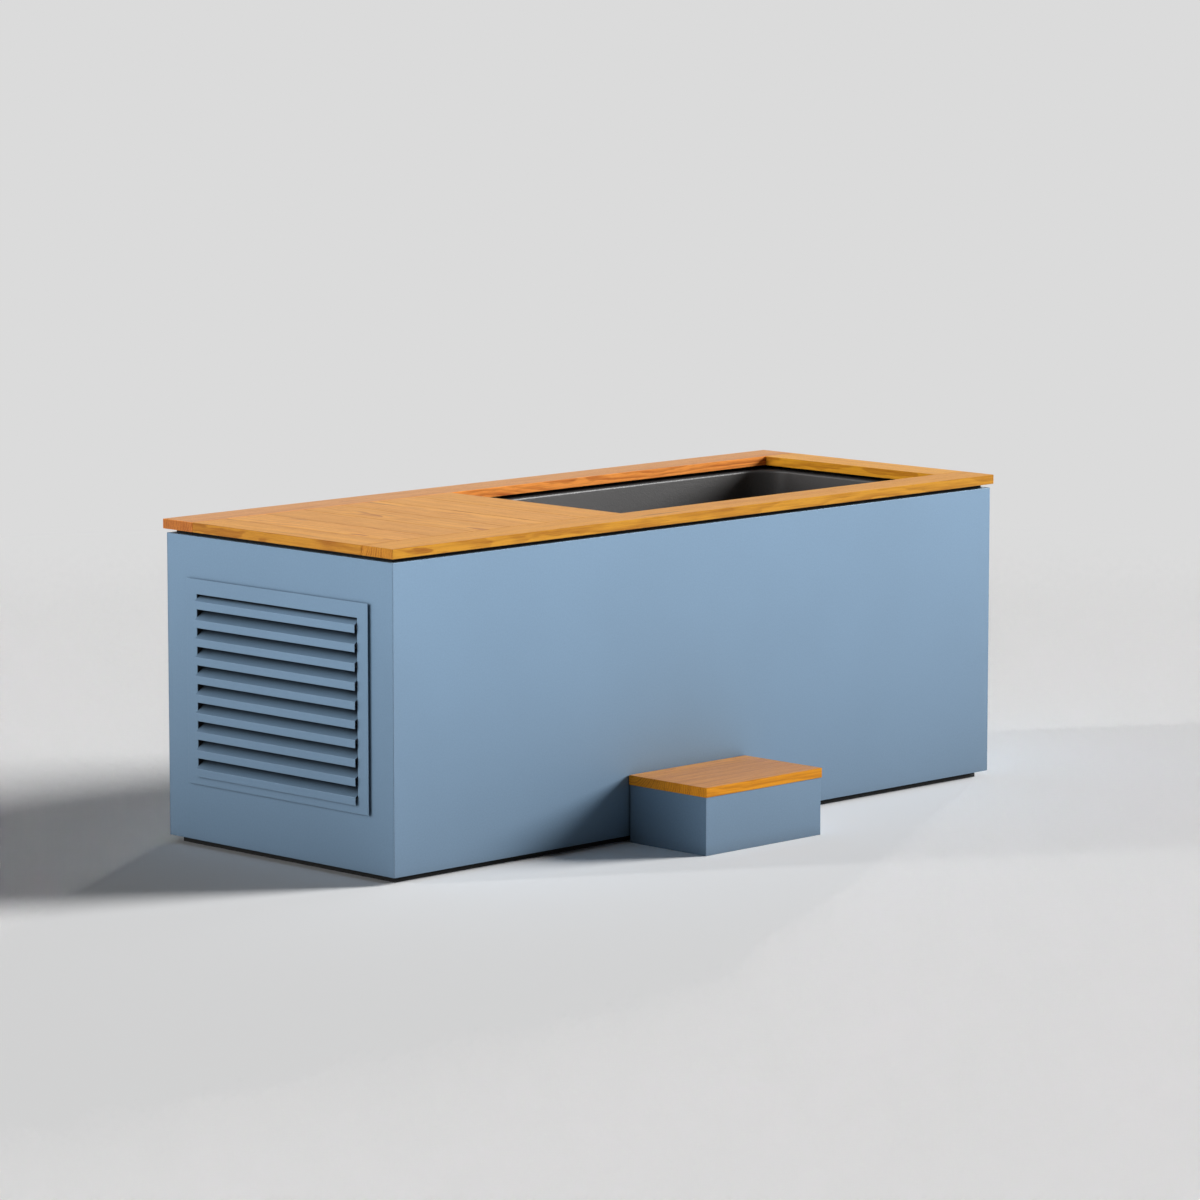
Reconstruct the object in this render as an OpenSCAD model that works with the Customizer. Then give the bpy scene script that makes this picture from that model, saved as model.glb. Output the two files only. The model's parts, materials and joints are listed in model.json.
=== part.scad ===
// Cold plunge tub in a sheet steel cabinet with a timber top, a louvred machine bay and a loose step.
// Millimetres. +X runs along the cabinet from the louvred end to the bathing end, +Y to the back, +Z up.
// The origin is on the floor, at the middle of the cabinet's footprint.

/* [Cabinet] */
// Length over the end panels
body_l = 2184; // [2000:4:2400]
// Width over the long panels
body_w = 834; // [800:2:900]
// Height of the painted panels
panel_h = 770; // [700:5:850]
// Thickness of the panel sheet
sheet = 2; // [1.5:0.5:3]
// Depth of the fold along the top edge of a panel
panel_fold = 14; // [8:1:16]
// Height of the black plinth
plinth_h = 17; // [12:1:40]
// How far the plinth stands back from the panels
plinth_inset = 24; // [15:1:30]
// Width of the plinth bars
plinth_bar = 45; // [30:1:60]

/* [Chassis] */
// Outside size of the square steel tube
tube = 40; // [30:5:40]
// Wall of the square steel tube
tube_wall = 3; // [2:0.5:4]
// Height of the black shadow gap under the timber
gap_h = 10; // [8:1:20]
// How far the shadow gap stands back from the panels
gap_inset = 17.5; // [14:0.5:20]
// Width of the strips that stand in the shadow gap
strip_w = 40; // [32:1:44]

/* [Timber top] */
// Thickness of the timber
wood_t = 25; // [20:1:32]
// Overhang of the timber past the panels
wood_over = 7; // [0:1:12]
// Width of the border rails
rail_w = 112; // [100:1:120]
// Hairline joint between boards
seam = 0.8; // [0.5:0.1:2]
// Boards that lift out together as the hatch
hatch_boards = 5; // [3:1:6]
// Thickness of the battens and ledges under the timber
batten_t = 21; // [15:1:24]
// Width of the battens and ledges
batten_w = 45; // [35:1:55]
// How far a ledge reaches under the hatch
ledge_reach = 22; // [12:1:28]

/* [Tub] */
// Length of the bathing opening
opening_l = 1196; // [1000:2:1240]
// Depth from the rim to the tub floor
tub_depth = 660; // [560:5:670]
// Wall of the moulded tub
tub_wall = 5; // [4:0.5:7]
// Radius of the upright corners
corner_r = 90; // [60:5:120]
// Radius where the walls meet the tub floor
floor_r = 50; // [30:5:60]
// Rounding of the rim's inner edge
rim_r = 7; // [3:1:10]
// Thickness of the rim flange
flange_t = 5; // [4:0.5:6]
// Width of the rim flange, from the inner wall
flange_w = 82; // [77:1:84]
// Thickness of the foam beside the tub walls
foam_t = 45; // [20:5:50]

/* [Louvre] */
// Width of the louvre frame
louvre_w = 668; // [600:4:700]
// Height of the louvre frame
louvre_h = 520; // [500:2:560]
// Height of the frame's lower edge above the floor
louvre_z = 161; // [140:1:170]
// Width of the frame's flat border
louvre_border = 38; // [30:1:42]
// Thickness of the frame's front plate
louvre_plate = 2.5; // [1.5:0.5:4]
// How far the frame's face stands off the panel
louvre_proud = 8; // [6:0.5:12]
// Number of louvre blades
blade_count = 10; // [8:1:11]
// Height of a blade's upright front lip
lip_h = 20; // [14:1:24]
// How far the lips stand off the panel
lip_proud = 16.3; // [14:0.1:20]
// Depth of a blade from its lip inwards
blade_depth = 40; // [30:1:44]
// Slope of a blade's face
blade_slope = 35; // [25:1:40]
// Thickness of a blade
blade_t = 2; // [1.5:0.5:2.5]

/* [Step] */
// Length of the step's box
step_l = 420; // [360:5:500]
// Depth of the step's box
step_w = 266; // [220:2:320]
// Height of the step with its timber
step_h = 173; // [150:1:200]
// Overhang of the step's timber
step_over = 2.5; // [0:0.5:10]
// Distance from the step to the panel
step_gap = 4; // [3.5:0.5:20]
// Place of the step's middle along the cabinet
step_x = -75; // [-400:5:400]

/* [Machine bay] */
// Outside radius of the water pipes
pipe_r = 20; // [16:1:20]
// Radius of the fan rotor
fan_r = 178; // [150:2:190]
// Blades on the fan rotor
fan_blades = 5; // [4:1:7]
// Radius of the filter bowl
filter_r = 75; // [65:1:80]
// Radius of the compressor can
compressor_r = 72; // [60:1:76]
// Radius of the heat exchanger
exchanger_r = 65; // [50:1:70]
// Radius of the drain outlet's bore
drain_bore_r = 16.6; // [12:0.2:18]
// Radius of the cable gland's bore
gland_bore_r = 5.5; // [4:0.5:7]

/* [Hidden] */
// Clearance between a piece and its seat
fit = 0.3;
// Radial clearance of a shaft in its bearing
run_fit = 0.05;
// Fineness of the round surfaces
$fn = 64;

// Outline and levels of the cabinet
half_l = body_l / 2;
half_w = body_w / 2;
panel_top = plinth_h + panel_h;
wood_z = panel_top + gap_h;
top_z = wood_z + wood_t;

// Lines of the chassis: outer and inner faces of the tubes
tube_out_x = half_l - sheet - fit;
tube_in_x = tube_out_x - tube;
tube_out_y = half_w - sheet - fit;
tube_in_y = tube_out_y - tube;
base_z0 = plinth_h + sheet;
base_z1 = base_z0 + tube;
rim_z = panel_top;
seat_z = rim_z - flange_t;
top_tube_z0 = seat_z - tube;

// Bathing opening, against the right end rail
opening_x1 = half_l + wood_over - rail_w;
opening_x0 = opening_x1 - opening_l;
opening_y = half_w + wood_over - rail_w;
tub_x = (opening_x0 + opening_x1) / 2;
tub_floor = rim_z - tub_depth;
tub_under = tub_floor - tub_wall;
flange_x0 = opening_x0 - flange_w;
flange_x1 = opening_x1 + flange_w;
flange_y = opening_y + flange_w;

// Deck boards between the left end rail and the opening
deck_x0 = -half_l - wood_over + rail_w;
board_pitch = (opening_x0 - deck_x0) / (hatch_boards + 1);
hatch_x1 = deck_x0 + hatch_boards * board_pitch;

// Bulkhead between the machine bay and the tub, hung on its own crossbars
bulk_x1 = flange_x0 + 29;
bulk_x0 = bulk_x1 - tube;
bulk_sheet_x1 = bulk_x0 - fit;
bulk_sheet_x0 = bulk_sheet_x1 - sheet;
tray_z = base_z1 + fit;
bay_z = tray_z + sheet;
foot_z = bay_z + fit;

// Places of the crossbars: ends, machine bay middle, bulkhead, and three under the tub
bay_bar_x = (bulk_x0 - tube_out_x) / 2 - tube / 2;
base_bars = [-tube_out_x, bay_bar_x, bulk_x0, opening_x0 + tube, tub_x - tube / 2,
             opening_x1 - 2 * tube, tube_in_x];
top_bars = [-tube_out_x, bulk_x0, tube_in_x];
post_bars = [-tube_out_x, bulk_x0, tub_x - tube / 2, tube_in_x];

// Shadow gap strips
strip_x = half_l - gap_inset;
strip_y = half_w - gap_inset;
divider_x0 = hatch_x1 - 33;
divider_x1 = bulk_x1 - 2;
ledge_z = wood_z - fit - batten_t;

// Louvre
louvre_y = louvre_w / 2 - louvre_border;
louvre_z0 = louvre_z + louvre_border;
louvre_z1 = louvre_z + louvre_h - louvre_border;
louvre_mid = (louvre_z0 + louvre_z1) / 2;
// The lowest lip hangs in front of the frame's lower border
lip_drop = 16.5;
// Opening left above the top lip
lip_gap = 16.6;
blade_z0 = louvre_z0 - lip_drop;
blade_pitch = (louvre_z1 - lip_gap - lip_h - blade_z0) / (blade_count - 1);
blade_rise = blade_depth * tan(blade_slope);
blades_top = louvre_z1 - lip_gap + blade_rise;
// Collar behind the frame's border
collar_setback = 9;
collar_w = 12;
// Duct that holds the blades
duct_t = 2;
duct_x1 = -half_l + 48;
duct_z1 = max(louvre_z1, blades_top + fit);

// Condenser, fan and motor, one behind the other
coil_x0 = duct_x1 + 6;
coil_t = 36;
coil_x1 = coil_x0 + coil_t;
coil_y = louvre_y - 22;
coil_plate = 12;
shroud_x = coil_x1 + fit;
fan_gap = 8;
fan_x0 = shroud_x + 7;
fan_x1 = fan_x0 + 26;
collar_x1 = shroud_x + 42;
motor_x0 = collar_x1 - 2;
motor_x1 = motor_x0 + 58;
motor_r = 42;
fan_shaft_r = 5;

// Length from the coil to the bulkhead, over which the machines are spread
bay_l = bulk_sheet_x0 - coil_x1;

// Water circuit
socket_r = pipe_r + 5;
water_bend = 26;
stub_l = 12;
tail_x = bulk_sheet_x0 - 20;
suction_face_r = 48;
suction_inset = 24;
suction_y = -(opening_y - corner_r - suction_face_r - suction_inset);
suction_z = tub_floor + floor_r + suction_face_r + 10;
return_face_r = 34;
return_drop = 227;
return_z = rim_z - return_drop;
pump_z = foot_z + 90;
volute_r = 62;
volute_x1 = bulk_sheet_x0 - 100;
volute_l = 64;
volute_x0 = volute_x1 - volute_l;
volute_wall = 8;
pump_motor_l = 0.215 * bay_l;
pump_motor_r = 54;
pump_shaft_r = 6;
pump_port = volute_x0 + volute_l / 2;
pump_port_z = pump_z + volute_r + 20;
pump_end_x = volute_x1 + 22;
filter_x = coil_x1 + 0.261 * bay_l;
filter_wall = 7;
filter_top = 430;
filter_in_z = 330;
filter_out_z = 130;
lid_t = 12;
lid_skirt = 30;
exchanger_x = coil_x1 + 0.576 * bay_l;
exchanger_y = tube_in_y - 135;
exchanger_top = 440;
exchanger_out_z = 400;
return_y = exchanger_y - 140;
cross_y = return_y - 2 * pipe_r;
compressor_x = coil_x1 + 0.247 * bay_l;
compressor_y = exchanger_y;
compressor_top = 315;
gas_r = 7;
gas_bend = 20;
liquid_r = 5;
liquid_bend = 14;
gas_z = 480;
liquid_y = tube_in_y - 30;
drier_l = 100;
coil_port_z = 230;
hot_z = 270;

// Drain line
drain_x = opening_x0 + 89;
drain_z = 95;
drain_out_x = bulk_sheet_x0 - 115;
valve_y = 250;
valve_r = 30;
stem_r = 7;
lever_z = drain_z + valve_r + 16;
lever_l = 98;
lever_r = 9;
lever_t = 6;
socket_d = 24;
outlet_r = 27;
outlet_flange_r = 36;

// Controller on the bulkhead
control_x1 = bulk_sheet_x0 - fit;
control_d = 60;
control_x0 = control_x1 - control_d;
control_w = 180;
control_y0 = tube_in_y - 45 - control_w;
control_z0 = 480;
control_h = 220;
control_top = control_z0 + control_h;
control_wall = 3;
key_r = 9;
key_collar_r = 12;
key_spacing = 45;

// Cable gland in the back panel
gland_x = -half_l + 112;
gland_z = 110;
gland_r = 10;
gland_nut_r = 15;
gland_nut_t = 13;

// Step
step_y1 = -half_w - step_gap;
step_y0 = step_y1 - step_w;
step_box_h = step_h - wood_t;
step_x0 = step_x - step_l / 2;
step_x1 = step_x0 + step_l;
step_fold = 22;

BLADES = [for (i = [1:blade_count]) str("louvre_blade_", i)];
HATCH = [for (i = [1:hatch_boards]) str("hatch_board_", i)];

// Box between two corners
module block(lo, hi) {
    translate(lo) cube(hi - lo);
}

// Round bar from one point to another
module rod(from, to, r) {
    run = to - from;
    len = norm(run);
    turn = acos(run.z / len);
    translate(from) rotate([0, turn, atan2(run.y, run.x)]) cylinder(r = r, h = len);
}

function heading(from, to) = (to - from) / norm(to - from);

// Pipe through a list of points, with a quarter bend of the given radius at each corner
module pipe_run(points, r, bend) {
    last = len(points) - 1;
    for (i = [0:last - 1]) {
        way = heading(points[i], points[i + 1]);
        rod(points[i] + (i > 0 ? bend : 0) * way,
            points[i + 1] - (i + 1 < last ? bend : 0) * way, r);
    }
    for (i = [1:1:last - 1]) {
        along = heading(points[i - 1], points[i]);
        away = heading(points[i], points[i + 1]);
        side = cross(along, away);
        centre = points[i] + bend * (away - along);
        multmatrix([[-away.x, along.x, side.x, centre.x],
                    [-away.y, along.y, side.y, centre.y],
                    [-away.z, along.z, side.z, centre.z],
                    [0, 0, 0, 1]])
            rotate_extrude(angle = 90) translate([bend, 0]) circle(r = r);
    }
}

// Square steel tube along X
module tube_along_x(x0, x1, y, z) {
    difference() {
        block([x0, y, z], [x1, y + tube, z + tube]);
        block([x0 - 1, y + tube_wall, z + tube_wall],
              [x1 + 1, y + tube - tube_wall, z + tube - tube_wall]);
    }
}

// Square steel tube along Y, between the long tubes
module tube_along_y(x, z) {
    end = tube_in_y - fit;
    difference() {
        block([x, -end, z], [x + tube, end, z + tube]);
        block([x + tube_wall, -end - 1, z + tube_wall],
              [x + tube - tube_wall, end + 1, z + tube - tube_wall]);
    }
}

module plinth() {
    color("black") {
        for (y = [-half_w + plinth_inset, half_w - plinth_inset - plinth_bar])
            block([-half_l + plinth_inset, y, 0],
                  [half_l - plinth_inset, y + plinth_bar, plinth_h]);
        end_y = half_w - plinth_inset - plinth_bar - fit;
        bearer_xs = [-half_l + plinth_inset, bay_bar_x, -plinth_bar / 2, tub_x,
                     half_l - plinth_inset - plinth_bar];
        for (x = bearer_xs) block([x, -end_y, 0], [x + plinth_bar, end_y, plinth_h]);
    }
}

module base_frame() {
    color("dimgray") {
        for (y = [-tube_out_y, tube_in_y]) tube_along_x(-tube_out_x, tube_out_x, y, base_z0);
        for (x = base_bars) tube_along_y(x, base_z0);
    }
}

module posts() {
    color("dimgray")
        for (x = post_bars, y = [-tube_out_y, tube_in_y])
            difference() {
                block([x, y, base_z1 + fit], [x + tube, y + tube, top_tube_z0 - fit]);
                block([x + tube_wall, y + tube_wall, base_z1],
                      [x + tube - tube_wall, y + tube - tube_wall, top_tube_z0]);
            }
}

module top_frame() {
    color("dimgray") {
        for (y = [-tube_out_y, tube_in_y]) tube_along_x(-tube_out_x, tube_out_x, y, top_tube_z0);
        for (x = top_bars) tube_along_y(x, top_tube_z0);
    }
}

// The strips stand on the top frame, and are notched over the tub's rim flange
module spacer_strips() {
    inner_y = strip_y - strip_w;
    color("black")
        difference() {
            union() {
                for (y = [-strip_y, inner_y])
                    block([-strip_x, y, seat_z], [strip_x, y + strip_w, wood_z]);
                for (span = [[-strip_x, -strip_x + strip_w], [divider_x0, divider_x1],
                             [strip_x - strip_w, strip_x]])
                    block([span[0], -inner_y + fit, seat_z], [span[1], inner_y - fit, wood_z]);
            }
            block([flange_x0 - fit, -flange_y - fit, seat_z - 1],
                  [flange_x1 + fit, flange_y + fit, rim_z]);
        }
}

// Long panel: a sheet with a fold along its top and its bottom edge
module long_panel() {
    fold_x = half_l - 2 * sheet - 2;
    block([-half_l, -half_w, plinth_h], [half_l, -half_w + sheet, panel_top]);
    block([-fold_x, -half_w, panel_top - sheet],
          [fold_x, -half_w + sheet + panel_fold, panel_top]);
    block([-fold_x, -half_w, plinth_h],
          [fold_x, -half_w + plinth_inset + plinth_bar / 2, plinth_h + sheet - fit]);
}

// End panel, fitted between the long panels
module end_panel() {
    edge_y = half_w - sheet - fit;
    fold_y = edge_y - panel_fold - 2;
    low_y = half_w - plinth_inset - plinth_bar / 2 - 2;
    block([-half_l, -edge_y, plinth_h], [-half_l + sheet, edge_y, panel_top]);
    block([-half_l, -fold_y, panel_top - sheet],
          [-half_l + sheet + panel_fold, fold_y, panel_top]);
    block([-half_l, -low_y, plinth_h],
          [-half_l + plinth_inset + plinth_bar / 2, low_y, plinth_h + sheet - fit]);
}

module front_panel() {
    color("lightsteelblue") long_panel();
}

module back_panel() {
    color("lightsteelblue")
        difference() {
            mirror([0, 1, 0]) long_panel();
            translate([gland_x, half_w, gland_z]) rotate([90, 0, 0])
                cylinder(r = gland_r + fit, h = 4 * sheet, center = true);
            translate([drain_out_x, half_w, drain_z]) rotate([90, 0, 0])
                cylinder(r = outlet_r + fit, h = 4 * sheet, center = true);
        }
}

module left_panel() {
    cut = duct_t + 2 * fit;
    color("lightsteelblue")
        difference() {
            end_panel();
            block([-half_l - 1, -louvre_y - cut, louvre_z0 - cut],
                  [-half_l + sheet + 1, louvre_y + cut, duct_z1 + cut]);
        }
}

module right_panel() {
    color("lightsteelblue") mirror([1, 0, 0]) end_panel();
}

// Front plate with a set-back collar that seats on the panel
module louvre_frame() {
    outer_y = louvre_w / 2;
    inset = collar_setback + collar_w;
    face_x = -half_l - louvre_proud;
    color("lightsteelblue")
        difference() {
            union() {
                block([face_x, -outer_y, louvre_z],
                      [face_x + louvre_plate, outer_y, louvre_z + louvre_h]);
                difference() {
                    block([face_x, -outer_y + collar_setback, louvre_z + collar_setback],
                          [-half_l - fit, outer_y - collar_setback,
                           louvre_z + louvre_h - collar_setback]);
                    block([face_x - 1, -outer_y + inset, louvre_z + inset],
                          [-half_l + 1, outer_y - inset, louvre_z + louvre_h - inset]);
                }
            }
            block([face_x - 1, -louvre_y, louvre_z0],
                  [face_x + louvre_plate + 1, louvre_y, louvre_z1]);
        }
}

// Sheet duct that carries the blades between its cheeks
module louvre_duct() {
    front_x = -half_l - louvre_proud + louvre_plate + fit;
    color("black")
        difference() {
            block([front_x, -louvre_y - duct_t, louvre_z0 - duct_t],
                  [duct_x1, louvre_y + duct_t, duct_z1 + duct_t]);
            block([front_x - 1, -louvre_y, louvre_z0], [duct_x1 + 1, louvre_y, duct_z1]);
        }
}

// Folded blade: an upright lip in front, and a face that rises into the duct
module louvre_blade(index) {
    lip_x = -half_l - lip_proud;
    lip_z = blade_z0 + (index - 1) * blade_pitch;
    end_y = louvre_y - fit;
    under = blade_t / cos(blade_slope);
    color("lightsteelblue")
        translate([lip_x, end_y, lip_z]) rotate([90, 0, 0])
            linear_extrude(height = 2 * end_y)
                polygon([[0, 0], [blade_t, 0], [blade_t, lip_h + blade_t * tan(blade_slope) - under],
                         [blade_depth, lip_h + blade_rise - under],
                         [blade_depth, lip_h + blade_rise], [0, lip_h]]);
}

module front_rail() {
    color("peru")
        block([-half_l - wood_over, -half_w - wood_over, wood_z],
              [half_l + wood_over, -opening_y, top_z]);
}

module back_rail() {
    color("peru")
        block([-half_l - wood_over, opening_y, wood_z],
              [half_l + wood_over, half_w + wood_over, top_z]);
}

// Board across the top, between the long rails
module cross_board(x0, x1) {
    color("burlywood")
        block([x0, -opening_y + seam, wood_z], [x1, opening_y - seam, top_z]);
}

module left_rail() {
    cross_board(-half_l - wood_over, deck_x0);
}

module right_rail() {
    cross_board(opening_x1, half_l + wood_over);
}

module divider_board() {
    cross_board(hatch_x1 + seam, opening_x0);
}

module hatch_board(index) {
    cross_board(deck_x0 + (index - 1) * board_pitch + seam, deck_x0 + index * board_pitch);
}

// Ledges screwed under the rails, where the hatch rests
module hatch_ledges() {
    long_x0 = -strip_x + strip_w + fit;
    long_x1 = divider_x0 - fit;
    end_y = opening_y - ledge_reach - fit;
    color("sienna") {
        for (y = [-opening_y + ledge_reach - batten_w, opening_y - ledge_reach])
            block([long_x0, y, ledge_z], [long_x1, y + batten_w, wood_z - fit]);
        block([deck_x0 + ledge_reach - batten_w, -end_y, ledge_z],
              [deck_x0 + ledge_reach, end_y, wood_z - fit]);
    }
}

module hatch_battens() {
    x0 = deck_x0 + ledge_reach + 15;
    x1 = divider_x0 - 15;
    color("sienna")
        for (y = [-opening_y / 2 - batten_w, opening_y / 2])
            block([x0, y, ledge_z], [x1, y + batten_w, wood_z - fit]);
}

// Tub outline as a hull: upright corners, and a rounded foot around the floor
module tub_body(grow, low, high) {
    corner_x = opening_l / 2 - corner_r;
    corner_y = opening_y - corner_r;
    foot_r = floor_r + grow;
    hull()
        for (x = [-corner_x, corner_x], y = [-corner_y, corner_y])
            translate([tub_x + x, y, 0]) {
                translate([0, 0, low + foot_r])
                    cylinder(r = corner_r + grow, h = high - low - foot_r, $fn = 48);
                translate([0, 0, low + foot_r]) rotate_extrude($fn = 48)
                    intersection() {
                        translate([corner_r - floor_r, 0]) circle(r = foot_r, $fn = 32);
                        translate([0, -foot_r]) square([corner_r + grow, 2 * foot_r]);
                    }
            }
}

// Widening of the well along the rounded rim
module rim_flare() {
    corner_x = opening_l / 2 - corner_r;
    corner_y = opening_y - corner_r;
    steps = 3;
    for (i = [0:steps - 1]) {
        a0 = 90 * i / steps;
        a1 = 90 * (i + 1) / steps;
        hull()
            for (x = [-corner_x, corner_x], y = [-corner_y, corner_y])
                translate([tub_x + x, y, rim_z - rim_r + rim_r * sin(a0)])
                    cylinder(r1 = corner_r + rim_r * (1 - cos(a0)),
                             r2 = corner_r + rim_r * (1 - cos(a1)),
                             h = rim_r * (sin(a1) - sin(a0)), $fn = 48);
    }
}

module tub_shell() {
    color("gray")
        difference() {
            union() {
                tub_body(tub_wall, tub_under, rim_z - 1);
                block([flange_x0, -flange_y, seat_z], [flange_x1, flange_y, rim_z]);
            }
            tub_body(0, tub_floor, rim_z + 1);
            rim_flare();
            translate([opening_x0, suction_y, suction_z]) rotate([0, 90, 0])
                cylinder(r = pipe_r + fit, h = 6 * tub_wall, center = true);
            translate([opening_x0, return_y, return_z]) rotate([0, 90, 0])
                cylinder(r = pipe_r + fit, h = 6 * tub_wall, center = true);
            translate([drain_x, 0, tub_floor])
                cylinder(r = pipe_r + fit, h = 6 * tub_wall, center = true);
        }
}

// Foam under the tub on the crossbars, and slabs beside its walls
module tub_foam() {
    x0 = opening_x0 - tub_wall;
    x1 = opening_x1 + tub_wall;
    y1 = opening_y + tub_wall;
    slab_z = seat_z - 7;
    slot = pipe_r + 10;
    color("khaki") {
        difference() {
            block([x0, -y1, base_z1 + fit], [x1, y1, tub_under - fit]);
            block([x0 - 1, -slot, base_z1], [drain_x + slot, slot, tub_under]);
        }
        for (y = [-y1 - fit - foam_t, y1 + fit])
            block([x0, y, base_z1 + fit], [x1, y + foam_t, slab_z]);
        block([x1 + fit, -y1, base_z1 + fit], [x1 + fit + foam_t, y1, slab_z]);
    }
}

// Wall fitting: a round face in the tub, and a tail through the wall and the bulkhead
module wall_fitting(y, z, face_r, face_t) {
    seat_x = opening_x0 + fit;
    nut_x = opening_x0 - tub_wall - fit;
    translate([0, y, z]) {
        difference() {
            union() {
                translate([seat_x, 0, 0]) rotate([0, 90, 0]) cylinder(r = face_r, h = face_t);
                rod([tail_x, 0, 0], [seat_x, 0, 0], pipe_r);
                rod([nut_x - 12, 0, 0], [nut_x, 0, 0], pipe_r + 9);
            }
            children();
        }
    }
}

module return_nozzle() {
    color("dimgray")
        wall_fitting(return_y, return_z, return_face_r, 9)
            rod([opening_x0 - 10, 0, 0], [opening_x0 + 12, 0, 0], 13);
}

module suction_grille() {
    holes = 7;
    ring_r = suction_face_r - 16;
    color("dimgray")
        wall_fitting(suction_y, suction_z, suction_face_r, 8)
            for (a = [0:holes - 1])
                rotate([a * 360 / holes, 0, 0])
                    rod([opening_x0 + 2, 0, ring_r], [opening_x0 + 12, 0, ring_r], 7);
}

// Waste in the tub floor, pipe, quarter-turn valve and outlet socket, glued into one line
module drain_line() {
    waste_r = 42;
    bend = [drain_x, 0, drain_z];
    turn = [drain_out_x, 0, drain_z];
    outlet = [drain_out_x, half_w - sheet - fit, drain_z];
    color("whitesmoke")
        difference() {
            union() {
                translate([drain_x, 0, tub_floor + fit]) cylinder(r = waste_r, h = 3);
                pipe_run([[drain_x, 0, tub_floor + 1], bend, turn, outlet], pipe_r - 1, water_bend);
                translate([drain_out_x, valve_y, drain_z]) sphere(r = valve_r);
                rod([drain_out_x, valve_y, drain_z], [drain_out_x, valve_y, lever_z - fit], stem_r + 4);
                rod([drain_out_x, half_w - socket_d - 12, drain_z], [drain_out_x, half_w + 1, drain_z],
                    outlet_r);
                rod([drain_out_x, half_w + fit, drain_z], [drain_out_x, half_w + 3, drain_z],
                    outlet_flange_r);
            }
            rod([drain_out_x, half_w - socket_d, drain_z], [drain_out_x, half_w + 4, drain_z],
                drain_bore_r);
            rod([drain_out_x, valve_y, lever_z - 20], [drain_out_x, valve_y, lever_z + 1],
                stem_r + run_fit);
            for (a = [0:60:300])
                translate([drain_x, 0, 0]) rotate([0, 0, a])
                    translate([24, 0, tub_floor - 2]) cylinder(r = 6, h = 10);
            translate([drain_x, 0, tub_floor - 8]) cylinder(r = 9, h = 20);
        }
}

// Lever on the valve's stem, lying along the pipe when the valve is open
module drain_lever() {
    color("firebrick")
        translate([drain_out_x, valve_y, lever_z]) difference() {
            union() {
                translate([0, 0, -19]) cylinder(r = stem_r, h = 19 + lever_t);
                cylinder(r = 2 * stem_r, h = lever_t);
                block([-lever_r, -lever_l, 0], [lever_r, 0, lever_t]);
                translate([0, -lever_l, 0]) cylinder(r = lever_r, h = lever_t);
            }
            translate([0, -lever_l, -1]) cylinder(r = 3.5, h = lever_t + 2);
        }
}

module machine_tray() {
    color("silver")
        block([-tube_out_x, -tube_in_y + fit, tray_z], [bulk_x1, tube_in_y - fit, bay_z]);
}

module bulkhead() {
    hole_r = pipe_r + 2;
    color("silver")
        difference() {
            block([bulk_sheet_x0, -tube_in_y + fit, foot_z],
                  [bulk_sheet_x1, tube_in_y - fit, seat_z - fit]);
            for (p = [[suction_y, suction_z], [return_y, return_z], [0, drain_z]])
                translate([bulk_x0, p[0], p[1]]) rotate([0, 90, 0])
                    cylinder(r = hole_r, h = tube, center = true);
        }
}

// Hermetic can with a domed top, on three feet
module compressor() {
    foot_h = 12;
    dome_h = 30;
    can_z = foot_z + foot_h;
    wall_h = compressor_top - can_z - dome_h;
    dome = [for (a = [0:10:90]) [compressor_r * cos(a), wall_h + dome_h * sin(a)]];
    color("black")
        translate([compressor_x, compressor_y, 0]) {
            translate([0, 0, can_z]) rotate_extrude() polygon(concat([[0, 0]], [[compressor_r, 0]], dome));
            for (a = [30, 150, 270])
                rotate([0, 0, a]) {
                    translate([0, -14, can_z]) cube([compressor_r + 14, 28, 4]);
                    translate([compressor_r + 2, 0, foot_z]) cylinder(r = 11, h = foot_h + 1);
                }
            translate([compressor_r - 14, -26, can_z + 90]) cube([34, 52, 60]);
        }
}

// Finned coil between two plates that stand on the tray, with return bends at both sides
module condenser() {
    rows = 8;
    row_pitch = (louvre_z1 - louvre_z0 - 40) / (2 * rows);
    mid_x = (coil_x0 + coil_x1) / 2;
    slots = 28;
    slot_pitch = 2 * coil_y / slots;
    color("darkgray") {
        difference() {
            block([coil_x0, -coil_y, louvre_z0], [coil_x1, coil_y, louvre_z1]);
            for (i = [1:slots - 1])
                block([coil_x0 - 1, -coil_y + i * slot_pitch - slot_pitch / 4, louvre_z0 + 6],
                      [coil_x0 + 10, -coil_y + i * slot_pitch + slot_pitch / 4, louvre_z1 - 6]);
        }
        for (s = [-1, 1])
            block([coil_x0, s > 0 ? coil_y : -coil_y - coil_plate, foot_z],
                  [coil_x1, s > 0 ? coil_y + coil_plate : -coil_y, louvre_z1]);
        for (i = [0:rows - 1])
            translate([mid_x, -coil_y - coil_plate, louvre_z0 + 20 + (2 * i + 1) * row_pitch])
                rotate([0, 90, 0]) rotate([0, 0, 180]) rotate_extrude(angle = 180)
                    translate([row_pitch / 2, 0]) circle(r = 5, $fn = 24);
    }
}

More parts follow.
